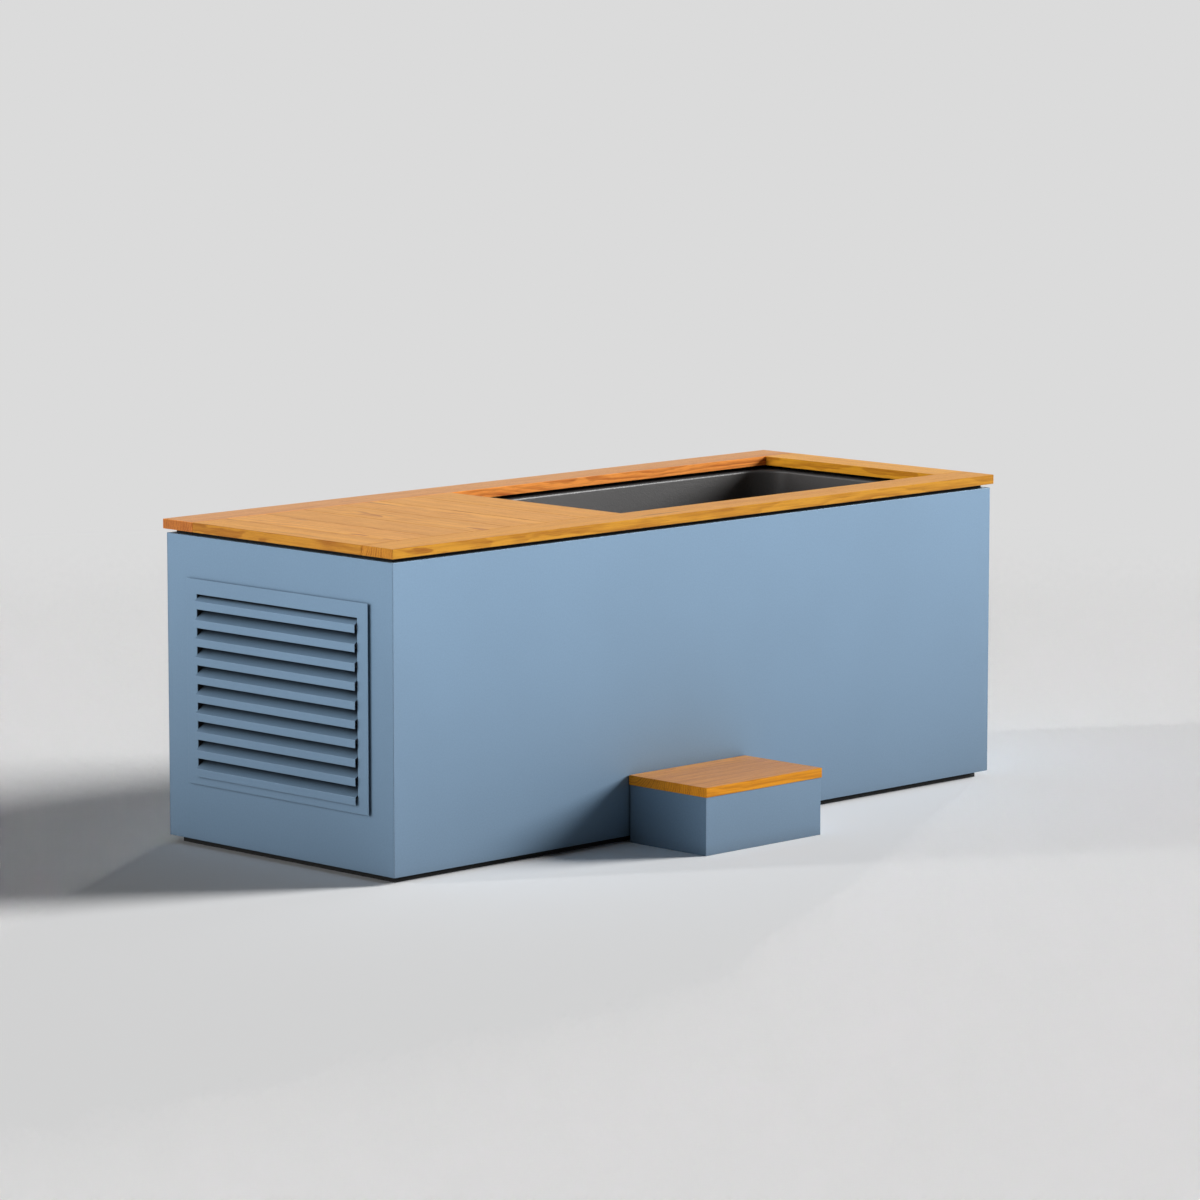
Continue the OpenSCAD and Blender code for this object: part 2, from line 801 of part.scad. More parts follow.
// Plate and collar behind the coil, with arms that hold the fan motor
module fan_shroud() {
    collar_r = fan_r + fan_gap;
    plate_y = coil_y + coil_plate;
    arms = 4;
    color("dimgray")
        difference() {
            union() {
                difference() {
                    union() {
                        block([shroud_x, -plate_y, foot_z], [shroud_x + 3, plate_y, louvre_z1]);
                        rod([shroud_x, 0, louvre_mid], [collar_x1, 0, louvre_mid], collar_r + 4);
                    }
                    rod([shroud_x - 1, 0, louvre_mid], [collar_x1 + 1, 0, louvre_mid], collar_r);
                }
                for (i = [0:arms - 1])
                    translate([motor_x0 - 3, 0, louvre_mid]) rotate([45 + i * 360 / arms, 0, 0])
                        translate([0, -7, motor_r - 4]) cube([4, 14, collar_r - motor_r + 6]);
                rod([motor_x0 - 4, 0, louvre_mid], [motor_x1, 0, louvre_mid], motor_r);
            }
            rod([motor_x0 - 5, 0, louvre_mid], [motor_x0 + 24, 0, louvre_mid], fan_shaft_r + run_fit);
        }
}

module fan_rotor() {
    chord = 68;
    hub_r = 38;
    blade_pitch_angle = 28;
    color("black") {
        rod([fan_x0, 0, louvre_mid], [fan_x1, 0, louvre_mid], hub_r);
        rod([fan_x1 - 1, 0, louvre_mid], [motor_x0 + 22, 0, louvre_mid], fan_shaft_r);
        intersection() {
            for (i = [0:fan_blades - 1])
                translate([(fan_x0 + fan_x1) / 2, 0, louvre_mid]) rotate([i * 360 / fan_blades, 0, 0])
                    translate([0, 0, hub_r - 6]) rotate([0, 0, blade_pitch_angle])
                        translate([-1.5, -chord / 2, 0]) cube([3, chord, fan_r]);
            rod([fan_x0, 0, louvre_mid], [fan_x1, 0, louvre_mid], fan_r);
        }
    }
}

// Upright shell with end caps, on a foot ring
module heat_exchanger() {
    cap = 14;
    color("silver")
        translate([exchanger_x, exchanger_y, 0]) {
            translate([0, 0, foot_z]) cylinder(r = exchanger_r - 12, h = 20);
            translate([0, 0, foot_z + 14]) cylinder(r = exchanger_r, h = exchanger_top - foot_z - 14);
            for (z = [foot_z + 14, exchanger_top - cap])
                translate([0, 0, z]) cylinder(r = exchanger_r + 4, h = cap);
            for (z = [filter_out_z, exchanger_out_z])
                rod([0, 0, z], [0, -exchanger_r - stub_l, z], socket_r);
        }
}

module refrigerant_lines() {
    drier_r = 16;
    drier_x = (compressor_x + exchanger_x - drier_l) / 2;
    coil_mid = (coil_x0 + coil_x1) / 2;
    side_y = coil_y + coil_plate + fit;
    hot_x = compressor_x - compressor_r - fit;
    color("chocolate") {
        pipe_run([[hot_x, compressor_y, hot_z], [hot_x - 20, compressor_y, hot_z],
                  [hot_x - 20, side_y + 26, hot_z], [coil_mid, side_y + 26, hot_z],
                  [coil_mid, side_y, hot_z]], liquid_r, liquid_bend);
        pipe_run([[coil_mid, side_y, coil_port_z], [coil_mid, liquid_y, coil_port_z],
                  [exchanger_x, liquid_y, coil_port_z],
                  [exchanger_x, exchanger_y + exchanger_r + fit, coil_port_z]], liquid_r, liquid_bend);
        rod([drier_x, liquid_y, coil_port_z], [drier_x + drier_l, liquid_y, coil_port_z], drier_r);
        pipe_run([[exchanger_x, exchanger_y, exchanger_top + fit], [exchanger_x, exchanger_y, gas_z],
                  [compressor_x, exchanger_y, gas_z],
                  [compressor_x, compressor_y, compressor_top + fit]], gas_r, gas_bend);
    }
}

// Motor and volute on one axis, with an end port and a port on top
module pump_housing() {
    base_w = 110;
    motor_x = volute_x0 - pump_motor_l;
    color("dimgray")
        difference() {
            union() {
                rod([volute_x0, suction_y, pump_z], [volute_x1, suction_y, pump_z], volute_r);
                rod([motor_x, suction_y, pump_z], [volute_x0 + 1, suction_y, pump_z], pump_motor_r);
                rod([volute_x1 - 1, suction_y, pump_z], [pump_end_x, suction_y, pump_z], socket_r);
                rod([pump_port, suction_y, pump_z], [pump_port, suction_y, pump_port_z], socket_r);
                block([motor_x + 10, suction_y - base_w / 2, foot_z],
                      [volute_x0 - 10, suction_y + base_w / 2, foot_z + 6]);
                block([motor_x + 30, suction_y - 30, foot_z], [volute_x0 - 30, suction_y + 30, pump_z]);
            }
            rod([volute_x0 + volute_wall, suction_y, pump_z],
                [volute_x1 - volute_wall, suction_y, pump_z], volute_r - volute_wall);
            rod([volute_x0 - 40, suction_y, pump_z], [volute_x0 + volute_wall + 1, suction_y, pump_z],
                pump_shaft_r + run_fit);
            rod([volute_x1 - volute_wall - 1, suction_y, pump_z],
                [volute_x1 + 12, suction_y, pump_z], pipe_r - 4);
        }
}

module pump_impeller() {
    disc_r = volute_r - volute_wall - 6;
    disc_x = volute_x0 + volute_wall + 4;
    vanes = 6;
    shaft_l = 38;
    color("white") {
        rod([disc_x, suction_y, pump_z], [disc_x + 6, suction_y, pump_z], disc_r);
        rod([disc_x, suction_y, pump_z], [disc_x + 24, suction_y, pump_z], 12);
        rod([volute_x0 - shaft_l, suction_y, pump_z], [disc_x + 1, suction_y, pump_z], pump_shaft_r);
        for (i = [0:vanes - 1])
            translate([disc_x + 5, suction_y, pump_z]) rotate([i * 360 / vanes, 0, 0])
                translate([0, -2, 10]) rotate([18, 0, 0]) cube([18, 4, disc_r - 16]);
    }
}

module water_pipes() {
    tail_end = tail_x - fit;
    drop_x = (tail_x + pump_end_x) / 2;
    filter_side = filter_r + stub_l + fit;
    exchanger_side = exchanger_y - exchanger_r - stub_l - fit;
    color("whitesmoke") {
        pipe_run([[tail_end, suction_y, suction_z], [drop_x, suction_y, suction_z],
                  [drop_x, suction_y, pump_z], [pump_end_x + fit, suction_y, pump_z]], pipe_r, water_bend);
        pipe_run([[pump_port, suction_y, pump_port_z + fit], [pump_port, suction_y, filter_in_z],
                  [filter_x + filter_side, suction_y, filter_in_z]], pipe_r, water_bend);
        pipe_run([[filter_x, suction_y + filter_side, filter_out_z],
                  [filter_x, cross_y, filter_out_z], [exchanger_x, cross_y, filter_out_z],
                  [exchanger_x, exchanger_side, filter_out_z]], pipe_r, water_bend);
        pipe_run([[exchanger_x, exchanger_side, exchanger_out_z],
                  [exchanger_x, return_y, exchanger_out_z], [exchanger_x, return_y, return_z],
                  [tail_end, return_y, return_z]], pipe_r, water_bend);
    }
}

module filter_bowl() {
    color("dimgray")
        translate([filter_x, suction_y, 0])
            difference() {
                union() {
                    translate([0, 0, foot_z]) cylinder(r = filter_r, h = filter_top - foot_z);
                    rod([0, 0, filter_in_z], [filter_r + stub_l, 0, filter_in_z], socket_r);
                    rod([0, 0, filter_out_z], [0, filter_r + stub_l, filter_out_z], socket_r);
                }
                translate([0, 0, foot_z + filter_wall])
                    cylinder(r = filter_r - filter_wall, h = filter_top);
            }
}

// Lid that turns on the bowl, with grips around its skirt
module filter_lid() {
    grips = 12;
    skirt_r = filter_r + fit + 8;
    low = filter_top - lid_skirt;
    color("royalblue")
        translate([filter_x, suction_y, 0])
            difference() {
                union() {
                    translate([0, 0, low]) cylinder(r = skirt_r, h = lid_skirt + fit + lid_t);
                    for (i = [0:grips - 1])
                        rotate([0, 0, i * 360 / grips]) translate([skirt_r, 0, low])
                            cylinder(r = 4, h = lid_skirt + fit + lid_t - 3, $fn = 24);
                    translate([0, -6, filter_top + lid_t]) translate([-filter_r + 12, 0, 0])
                        cube([2 * filter_r - 24, 12, 16]);
                }
                translate([0, 0, low - 1]) cylinder(r = filter_r + fit, h = lid_skirt + fit + 1);
            }
}

// Pleated paper around a core tube
module filter_cartridge() {
    pleats = 24;
    outer = filter_r - filter_wall - 6;
    inner = outer - 12;
    low = foot_z + filter_wall + fit;
    high = filter_top - 8;
    star = [for (i = [0:2 * pleats - 1])
        let (a = i * 180 / pleats, r = i % 2 == 0 ? outer : inner) [r * cos(a), r * sin(a)]];
    color("white")
        translate([filter_x, suction_y, 0])
            difference() {
                union() {
                    translate([0, 0, low + 5]) linear_extrude(height = high - low - 10) polygon(star);
                    for (z = [low, high - 8]) translate([0, 0, z]) cylinder(r = outer + 1, h = 8);
                }
                translate([0, 0, low - 1]) cylinder(r = 20, h = high - low + 2);
            }
}

// Places of the two keys on top of the controller
function key_at(index) = [control_x0 + control_d / 2,
                          control_y0 + control_w / 2 + (index - 1.5) * key_spacing];

module control_box() {
    color("gray")
        difference() {
            block([control_x0, control_y0, control_z0],
                  [control_x1, control_y0 + control_w, control_top]);
            block([control_x0 + control_wall, control_y0 + control_wall, control_z0 + control_wall],
                  [control_x1 - control_wall, control_y0 + control_w - control_wall,
                   control_top - control_wall]);
            for (i = [1, 2])
                translate([key_at(i)[0], key_at(i)[1], control_top - 2 * control_wall])
                    cylinder(r = key_r + fit, h = 3 * control_wall);
        }
}

module control_key(index) {
    color("black")
        translate([key_at(index)[0], key_at(index)[1], 0]) {
            translate([0, 0, control_top - control_wall - 4]) cylinder(r = key_r, h = control_wall + 7);
            translate([0, 0, control_top - control_wall - fit - 4]) cylinder(r = key_collar_r, h = 4);
        }
}

module cable_gland() {
    inner_nut_y = half_w - sheet - fit - 9;
    color("black")
        difference() {
            union() {
                rod([gland_x, inner_nut_y - 6, gland_z], [gland_x, half_w + gland_nut_t, gland_z], gland_r);
                translate([gland_x, half_w + gland_nut_t, gland_z]) rotate([90, 0, 0])
                    cylinder(r = gland_nut_r, h = gland_nut_t - fit, $fn = 6);
                translate([gland_x, inner_nut_y + 9, gland_z]) rotate([90, 0, 0])
                    cylinder(r = gland_nut_r, h = 9, $fn = 6);
            }
            rod([gland_x, inner_nut_y - 7, gland_z], [gland_x, half_w + gland_nut_t + 1, gland_z],
                gland_bore_r);
        }
}

// Open-bottomed sheet box with a folded foot and a folded top edge
module step_box() {
    color("lightsteelblue")
        difference() {
            block([step_x0, step_y0, 0], [step_x1, step_y1, step_box_h]);
            block([step_x0 + sheet, step_y0 + sheet, sheet],
                  [step_x1 - sheet, step_y1 - sheet, step_box_h - sheet]);
            block([step_x0 + step_fold, step_y0 + step_fold, -1],
                  [step_x1 - step_fold, step_y1 - step_fold, step_box_h + 1]);
        }
}

// Tread with two cleats that drop inside the box
module step_top() {
    inset = step_fold + fit;
    cleat_z = step_box_h - fit;
    color("burlywood") {
        block([step_x0 - step_over, step_y0 - step_over, step_box_h],
              [step_x1 + step_over, step_y1 + step_over, step_h]);
        for (x = [step_x0 + inset, step_x1 - inset - batten_w])
            block([x, step_y0 + inset, cleat_z - batten_t], [x + batten_w, step_y1 - inset, step_box_h + 1]);
    }
}

plinth();
base_frame();
posts();
top_frame();
spacer_strips();
front_panel();
back_panel();
left_panel();
right_panel();
louvre_frame();
louvre_duct();
for (i = [1:blade_count]) louvre_blade(i);
front_rail();
back_rail();
left_rail();
right_rail();
divider_board();
hatch_ledges();
for (i = [1:hatch_boards]) hatch_board(i);
hatch_battens();
tub_shell();
tub_foam();
return_nozzle();
suction_grille();
drain_line();
drain_lever();
machine_tray();
bulkhead();
compressor();
condenser();
fan_shroud();
fan_rotor();
heat_exchanger();
refrigerant_lines();
pump_housing();
pump_impeller();
water_pipes();
filter_bowl();
filter_lid();
filter_cartridge();
control_box();
control_key(1);  // control_key_1
control_key(2);  // control_key_2
cable_gland();
step_box();
step_top();
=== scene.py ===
"""Cold plunge tub: powder-coated cabinet, timber top, moulded tub, louvred machine bay and a loose step."""
import json
import math
import random

import bmesh
import bpy
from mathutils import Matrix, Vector

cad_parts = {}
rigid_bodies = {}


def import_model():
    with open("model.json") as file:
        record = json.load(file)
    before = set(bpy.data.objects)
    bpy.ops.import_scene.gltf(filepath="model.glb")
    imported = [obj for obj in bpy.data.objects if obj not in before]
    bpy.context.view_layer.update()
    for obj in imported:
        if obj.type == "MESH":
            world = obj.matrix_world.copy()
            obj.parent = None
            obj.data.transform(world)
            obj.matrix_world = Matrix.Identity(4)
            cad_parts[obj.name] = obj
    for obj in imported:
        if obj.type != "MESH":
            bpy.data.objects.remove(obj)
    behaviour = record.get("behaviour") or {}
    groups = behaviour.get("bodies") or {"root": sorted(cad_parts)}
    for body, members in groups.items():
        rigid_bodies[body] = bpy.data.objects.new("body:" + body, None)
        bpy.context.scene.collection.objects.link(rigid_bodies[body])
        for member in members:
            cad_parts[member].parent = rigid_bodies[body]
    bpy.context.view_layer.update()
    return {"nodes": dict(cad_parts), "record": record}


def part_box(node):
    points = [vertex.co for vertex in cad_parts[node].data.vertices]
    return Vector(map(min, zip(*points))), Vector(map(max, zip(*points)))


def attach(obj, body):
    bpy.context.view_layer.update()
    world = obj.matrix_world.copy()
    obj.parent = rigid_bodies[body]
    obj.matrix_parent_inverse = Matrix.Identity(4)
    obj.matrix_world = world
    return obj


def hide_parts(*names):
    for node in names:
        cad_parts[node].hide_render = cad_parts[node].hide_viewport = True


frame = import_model()
NODES = frame["nodes"]
chance = random.Random(7)

# Photo's view: where the camera stands in metres, its tilt and turn in degrees, and its lens in millimetres
CAMERA_AT = (-9.8372, -9.8656, 2.4964)
CAMERA_TILT_DOWN = 7.958
CAMERA_TURN = -45
CAMERA_LENS = 162.12


def photo_camera():
    lens = bpy.data.cameras.new("photo_view")
    lens.sensor_width = 36
    lens.lens = CAMERA_LENS
    lens.clip_end = 80
    camera = bpy.data.objects.new("photo_view", lens)
    camera.location = CAMERA_AT
    camera.rotation_euler = (math.radians(90 - CAMERA_TILT_DOWN), 0, math.radians(CAMERA_TURN))
    bpy.context.scene.collection.objects.link(camera)
    bpy.context.scene.camera = camera


# Small steps that the shader trees are made of
def feed(tree, socket, value):
    if isinstance(value, bpy.types.NodeSocket):
        tree.links.new(value, socket)
    else:
        socket.default_value = value


def add(tree, kind, settings=None, **inputs):
    node = tree.nodes.new("ShaderNode" + kind)
    for key, value in (settings or {}).items():
        setattr(node, key, value)
    for key, value in inputs.items():
        feed(tree, node.inputs[key.replace("_", " ")], value)
    return node


def calc(tree, operation, *values, clamp=False):
    node = tree.nodes.new("ShaderNodeMath")
    node.operation = operation
    node.use_clamp = clamp
    for socket, value in zip(node.inputs, values):
        feed(tree, socket, value)
    return node.outputs[0]


def stretched(tree, vector, scale):
    node = add(tree, "VectorMath", {"operation": "MULTIPLY"})
    feed(tree, node.inputs[0], vector)
    node.inputs[1].default_value = scale
    return node.outputs[0]


def noise(tree, vector, scale=1.0, detail=2.0, roughness=0.5):
    node = add(tree, "TexNoise", Vector=vector, Scale=scale, Detail=detail, Roughness=roughness)
    return node.outputs["Fac"]


def remap(tree, value, low, high, to_low=0.0, to_high=1.0):
    node = add(tree, "MapRange", {"interpolation_type": "SMOOTHSTEP"})
    for key, given in (("Value", value), ("From Min", low), ("From Max", high),
                       ("To Min", to_low), ("To Max", to_high)):
        feed(tree, node.inputs[key], given)
    return node.outputs["Result"]


def blended(tree, factor, first, second, mode="MIX"):
    node = add(tree, "Mix", {"data_type": "RGBA", "blend_type": mode})
    feed(tree, node.inputs[0], factor)
    feed(tree, node.inputs[6], first)
    feed(tree, node.inputs[7], second)
    return node.outputs[2]


def dimmed(tree, colour, shade):
    tone = add(tree, "CombineColor", Red=shade, Green=shade, Blue=shade).outputs[0]
    return blended(tree, 1.0, colour, tone, "MULTIPLY")


def mixed_shader(tree, factor, first, second):
    node = add(tree, "MixShader")
    feed(tree, node.inputs[0], factor)
    feed(tree, node.inputs[1], first.outputs[0])
    feed(tree, node.inputs[2], second.outputs[0])
    return node.outputs[0]


def paint(red, green, blue):
    """A colour given as it looks on a screen, 0 to 255."""
    return tuple((c / 255 / 12.92 if c <= 10 else ((c / 255 + 0.055) / 1.055) ** 2.4)
                 for c in (red, green, blue)) + (1.0,)


def effect(name, inputs):
    """A shader node group that a finish uses; gives the group, the values given to it and its results."""
    tree = bpy.data.node_groups.new(name, "ShaderNodeTree")
    for label, kind, value in inputs:
        socket = tree.interface.new_socket(name=label, in_out="INPUT", socket_type="NodeSocket" + kind)
        socket.default_value = value
    for label, kind in (("Color", "Color"), ("Roughness", "Float"), ("Height", "Float")):
        tree.interface.new_socket(name=label, in_out="OUTPUT", socket_type="NodeSocket" + kind)
    return tree, tree.nodes.new("NodeGroupInput").outputs, tree.nodes.new("NodeGroupOutput").inputs


# How far the effects reach, in metres, and the screen colours that they lay over a finish
PITH_WANDER = 0.05
RING_RIPPLE = 0.011
# The cabinet height spans the painted shade towards the floor; the hollow reach and the near-black hollow
# colour paint shade into hollows.
CABINET_HEIGHT = 0.77
HOLLOW_REACH = 0.06
EDGE_REACH = 0.0015
PORE_COLOUR = (120, 66, 28)
STREAK_COLOUR = (112, 62, 30)
HOLLOW_SHADE_COLOUR = (8, 10, 12)
RUBBED_COLOUR = (198, 214, 228)
DUST_COLOUR = (178, 172, 160)
TARNISH_COLOUR = (110, 106, 98)
BRIGHT_METAL = (232, 234, 236)


def timber_effect():
    """Growth rings round the pith, fibres along the board, pores and a few dark streaks, times each point's
    tone with its painted sheen, light and shade.
    """
    tree, given, out = effect(
        "TimberGrainPaintedLight",
        [("Pale", "Color", paint(222, 156, 46)), ("Dark", "Color", paint(152, 80, 20)),
         ("Ring Pitch", "Float", 0.0062), ("Streaks", "Float", 0.75)])
    grain = add(tree, "Attribute", {"attribute_name": "grain"}).outputs["Vector"]
    tone_and_painted_light = add(tree, "Attribute", {"attribute_name": "tone_and_painted_light"}).outputs["Vector"]
    length = add(tree, "VectorMath", {"operation": "LENGTH"})
    feed(tree, length.inputs[0], stretched(tree, grain, (0, 1, 1)))
    slow = noise(tree, stretched(tree, grain, (1.3, 7, 7)), detail=1)
    quick = noise(tree, stretched(tree, grain, (7, 26, 26)), detail=2)
    radius = calc(tree, "ADD", length.outputs["Value"], calc(tree, "MULTIPLY", slow, PITH_WANDER))
    radius = calc(tree, "ADD", radius, calc(tree, "MULTIPLY", quick, RING_RIPPLE))
    ring = calc(tree, "DIVIDE", radius, given["Ring Pitch"])
    part = calc(tree, "FRACT", ring)
    late = calc(tree, "MULTIPLY", remap(tree, part, 0.15, 0.82), remap(tree, part, 1.0, 0.9))
    every = add(tree, "TexWhiteNoise", {"noise_dimensions": "1D"}, W=calc(tree, "FLOOR", ring))
    late = calc(tree, "MULTIPLY", late, remap(tree, every.outputs["Value"], 0, 1, 0.45, 1.0))
    fibre = noise(tree, stretched(tree, grain, (9, 330, 330)), detail=3, roughness=0.6)
    band = noise(tree, stretched(tree, grain, (0.7, 30, 30)), detail=2)
    pores = remap(tree, noise(tree, stretched(tree, grain, (38, 1100, 1100)), detail=1), 0.62, 0.72)
    mask = calc(tree, "ADD", calc(tree, "MULTIPLY", late, 0.62),
                calc(tree, "MULTIPLY", calc(tree, "SUBTRACT", fibre, 0.5), 1.3))
    broad = calc(tree, "MULTIPLY", calc(tree, "SUBTRACT", band, 0.42), 0.65)
    mask = calc(tree, "ADD", mask, broad, clamp=True)
    colour = blended(tree, mask, given["Pale"], given["Dark"])
    colour = blended(tree, calc(tree, "MULTIPLY", pores, 0.35), colour, paint(*PORE_COLOUR))
    streak = noise(tree, stretched(tree, grain, (2.2, 34, 34)), detail=3, roughness=0.55)
    streak = calc(tree, "MULTIPLY", remap(tree, streak, 0.66, 0.74), given["Streaks"])
    colour = blended(tree, streak, colour, paint(*STREAK_COLOUR))
    # Painted light: each point's tone holds the board's own tone with a painted sheen on the top and
    # painted light and shade on the sides and ends.
    feed(tree, out["Color"], blended(tree, 1.0, colour, tone_and_painted_light, "MULTIPLY"))
    feed(tree, out["Roughness"], calc(tree, "ADD", calc(tree, "MULTIPLY", fibre, 0.16),
                                      calc(tree, "MULTIPLY", pores, 0.12)))
    feed(tree, out["Height"], calc(tree, "SUBTRACT", calc(tree, "MULTIPLY", fibre, 0.4), pores))
    return tree


def powder_effect():
    """Orange peel of a powder coat, with painted shade low down and in hollows, rubbed lighter along the
    edges.
    """
    tree, given, out = effect(
        "PowderCoatPaintedShade",
        [("Paint", "Color", paint(113, 142, 168)), ("Peel", "Float", 240.0), ("Rub", "Float", 0.2),
         ("Painted Foot Shade", "Float", 1.0), ("Painted Hollow Shade", "Float", 0.3)])
    place = add(tree, "TexCoord").outputs["Object"]
    slow = noise(tree, place, 1.7, 3)
    peel = noise(tree, place, given["Peel"], 2, 0.55)
    fine = noise(tree, place, calc(tree, "MULTIPLY", given["Peel"], 4.0), 1)
    shade = calc(tree, "ADD", remap(tree, slow, 0.25, 0.75, 0.965, 1.035),
                 calc(tree, "MULTIPLY", calc(tree, "SUBTRACT", peel, 0.5), 0.22))
    colour = dimmed(tree, given["Paint"], shade)
    # Painted shade: the coat darkens towards the floor, standing in for light that falls off low down on
    # the cabinet.
    height = add(tree, "SeparateXYZ", Vector=place).outputs["Z"]
    rise = calc(tree, "POWER", calc(tree, "DIVIDE", height, CABINET_HEIGHT, clamp=True), 0.6)
    painted_foot_shade = add(tree, "MapRange", Value=rise, To_Min=given["Painted Foot Shade"]).outputs["Result"]
    colour = dimmed(tree, colour, painted_foot_shade)
    # Painted shade: an occlusion node darkens hollows, crevices and the louvre's slots towards near black.
    open_air = add(tree, "AmbientOcclusion", {"samples": 6}, Distance=HOLLOW_REACH).outputs["AO"]
    painted_hollow_shade = calc(tree, "MULTIPLY", remap(tree, open_air, 0.85, 0.3), given["Painted Hollow Shade"])
    colour = blended(tree, painted_hollow_shade, colour, paint(*HOLLOW_SHADE_COLOUR))
    edge = calc(tree, "MULTIPLY", edge_of(tree), given["Rub"])
    feed(tree, out["Color"], blended(tree, edge, colour, paint(*RUBBED_COLOUR)))
    feed(tree, out["Roughness"], calc(tree, "ADD", calc(tree, "MULTIPLY", peel, 0.12),
                                      calc(tree, "MULTIPLY", fine, 0.06)))
    feed(tree, out["Height"], calc(tree, "ADD", peel, calc(tree, "MULTIPLY", fine, 0.25)))
    return tree


def edge_of(tree):
    """1 on a sharp edge and 0 on a flat face, from how far a rounded normal leaves the true one."""
    rounded = add(tree, "Bevel", {"samples": 4}, Radius=EDGE_REACH).outputs["Normal"]
    plain = add(tree, "NewGeometry").outputs["Normal"]
    dot = add(tree, "VectorMath", {"operation": "DOT_PRODUCT"})
    feed(tree, dot.inputs[0], rounded)
    feed(tree, dot.inputs[1], plain)
    return remap(tree, dot.outputs["Value"], 0.99, 0.85)


def moulded_effect():
    """Fine pebble grain of a moulded plastic or rubber, with dust in its low places."""
    tree, given, out = effect(
        "MouldedGrain",
        [("Colour", "Color", paint(120, 118, 116)), ("Grain", "Float", 420.0), ("Dust", "Float", 0.1)])
    place = add(tree, "TexCoord").outputs["Object"]
    cells = add(tree, "TexVoronoi", {"feature": "SMOOTH_F1"}, Vector=place, Scale=given["Grain"])
    pebble = cells.outputs["Distance"]
    slow = noise(tree, place, 3.1, 3)
    speck = noise(tree, place, calc(tree, "MULTIPLY", given["Grain"], 0.6), 2)
    shade = calc(tree, "ADD", remap(tree, slow, 0.3, 0.7, 0.94, 1.06),
                 calc(tree, "MULTIPLY", calc(tree, "SUBTRACT", speck, 0.5), 0.34))
    colour = dimmed(tree, given["Colour"], shade)
    dust = calc(tree, "MULTIPLY", remap(tree, noise(tree, place, 11, 4, 0.6), 0.5, 0.8), given["Dust"])
    feed(tree, out["Color"], blended(tree, dust, colour, paint(*DUST_COLOUR)))
    feed(tree, out["Roughness"], calc(tree, "ADD", calc(tree, "MULTIPLY", pebble, 0.15),
                                      calc(tree, "MULTIPLY", dust, 0.4)))
    feed(tree, out["Height"], pebble)
    return tree


def sheet_effect():
    """Rolled metal: fine lines along the roll, cloudy tarnish and bright edges."""
    tree, given, out = effect(
        "RolledSheet",
        [("Metal", "Color", paint(196, 198, 202)), ("Along", "Vector", (4.0, 260.0, 260.0)),
         ("Tarnish", "Float", 0.3)])
    place = add(tree, "TexCoord").outputs["Object"]
    run = add(tree, "VectorMath", {"operation": "MULTIPLY"})
    feed(tree, run.inputs[0], place)
    feed(tree, run.inputs[1], given["Along"])
    lines = noise(tree, run.outputs[0], 1, 3, 0.6)
    cloud = noise(tree, place, 9, 4, 0.6)
    dull = calc(tree, "MULTIPLY", remap(tree, cloud, 0.42, 0.7), given["Tarnish"])
    colour = blended(tree, dull, given["Metal"], paint(*TARNISH_COLOUR))
    feed(tree, out["Color"], blended(tree, calc(tree, "MULTIPLY", edge_of(tree), 0.4),
                                     colour, paint(*BRIGHT_METAL)))
    feed(tree, out["Roughness"], calc(tree, "ADD", calc(tree, "MULTIPLY", lines, 0.2),
                                      calc(tree, "MULTIPLY", dull, 0.35)))
    feed(tree, out["Height"], lines)
    return tree


EFFECTS = {"timber": timber_effect(), "powder": powder_effect(), "moulded": moulded_effect(),
           "sheet": sheet_effect()}


def finish_of(name, effect_name, inputs, roughness, bump=0.1, depth=0.0005, metallic=0.0, specular=0.5):
    """A material: one effect feeding one Principled shader. roughness is added to the effect's own."""
    material = bpy.data.materials.new(name)
    material.use_nodes = True
    tree = material.node_tree
    shader = tree.nodes["Principled BSDF"]
    group = tree.nodes.new("ShaderNodeGroup")
    group.node_tree = EFFECTS[effect_name]
    for key, value in inputs.items():
        group.inputs[key].default_value = value
    tree.links.new(group.outputs["Color"], shader.inputs["Base Color"])
    tree.links.new(calc(tree, "ADD", group.outputs["Roughness"], roughness), shader.inputs["Roughness"])
    relief = add(tree, "Bump", Height=group.outputs["Height"], Strength=bump, Distance=depth)
    tree.links.new(relief.outputs["Normal"], shader.inputs["Normal"])
    shader.inputs["Metallic"].default_value = metallic
    shader.inputs["Specular IOR Level"].default_value = specular
    return material


def cabinet_coat(name, hollow_shade):
    """The cabinet's blue, with painted shade towards the floor and more or less painted shade in its
    hollows.
    """
    return finish_of(name, "powder", {"Painted Foot Shade": 0.55, "Painted Hollow Shade": hollow_shade}, 0.40, 0.12, 0.0004,
                     metallic=0.3)


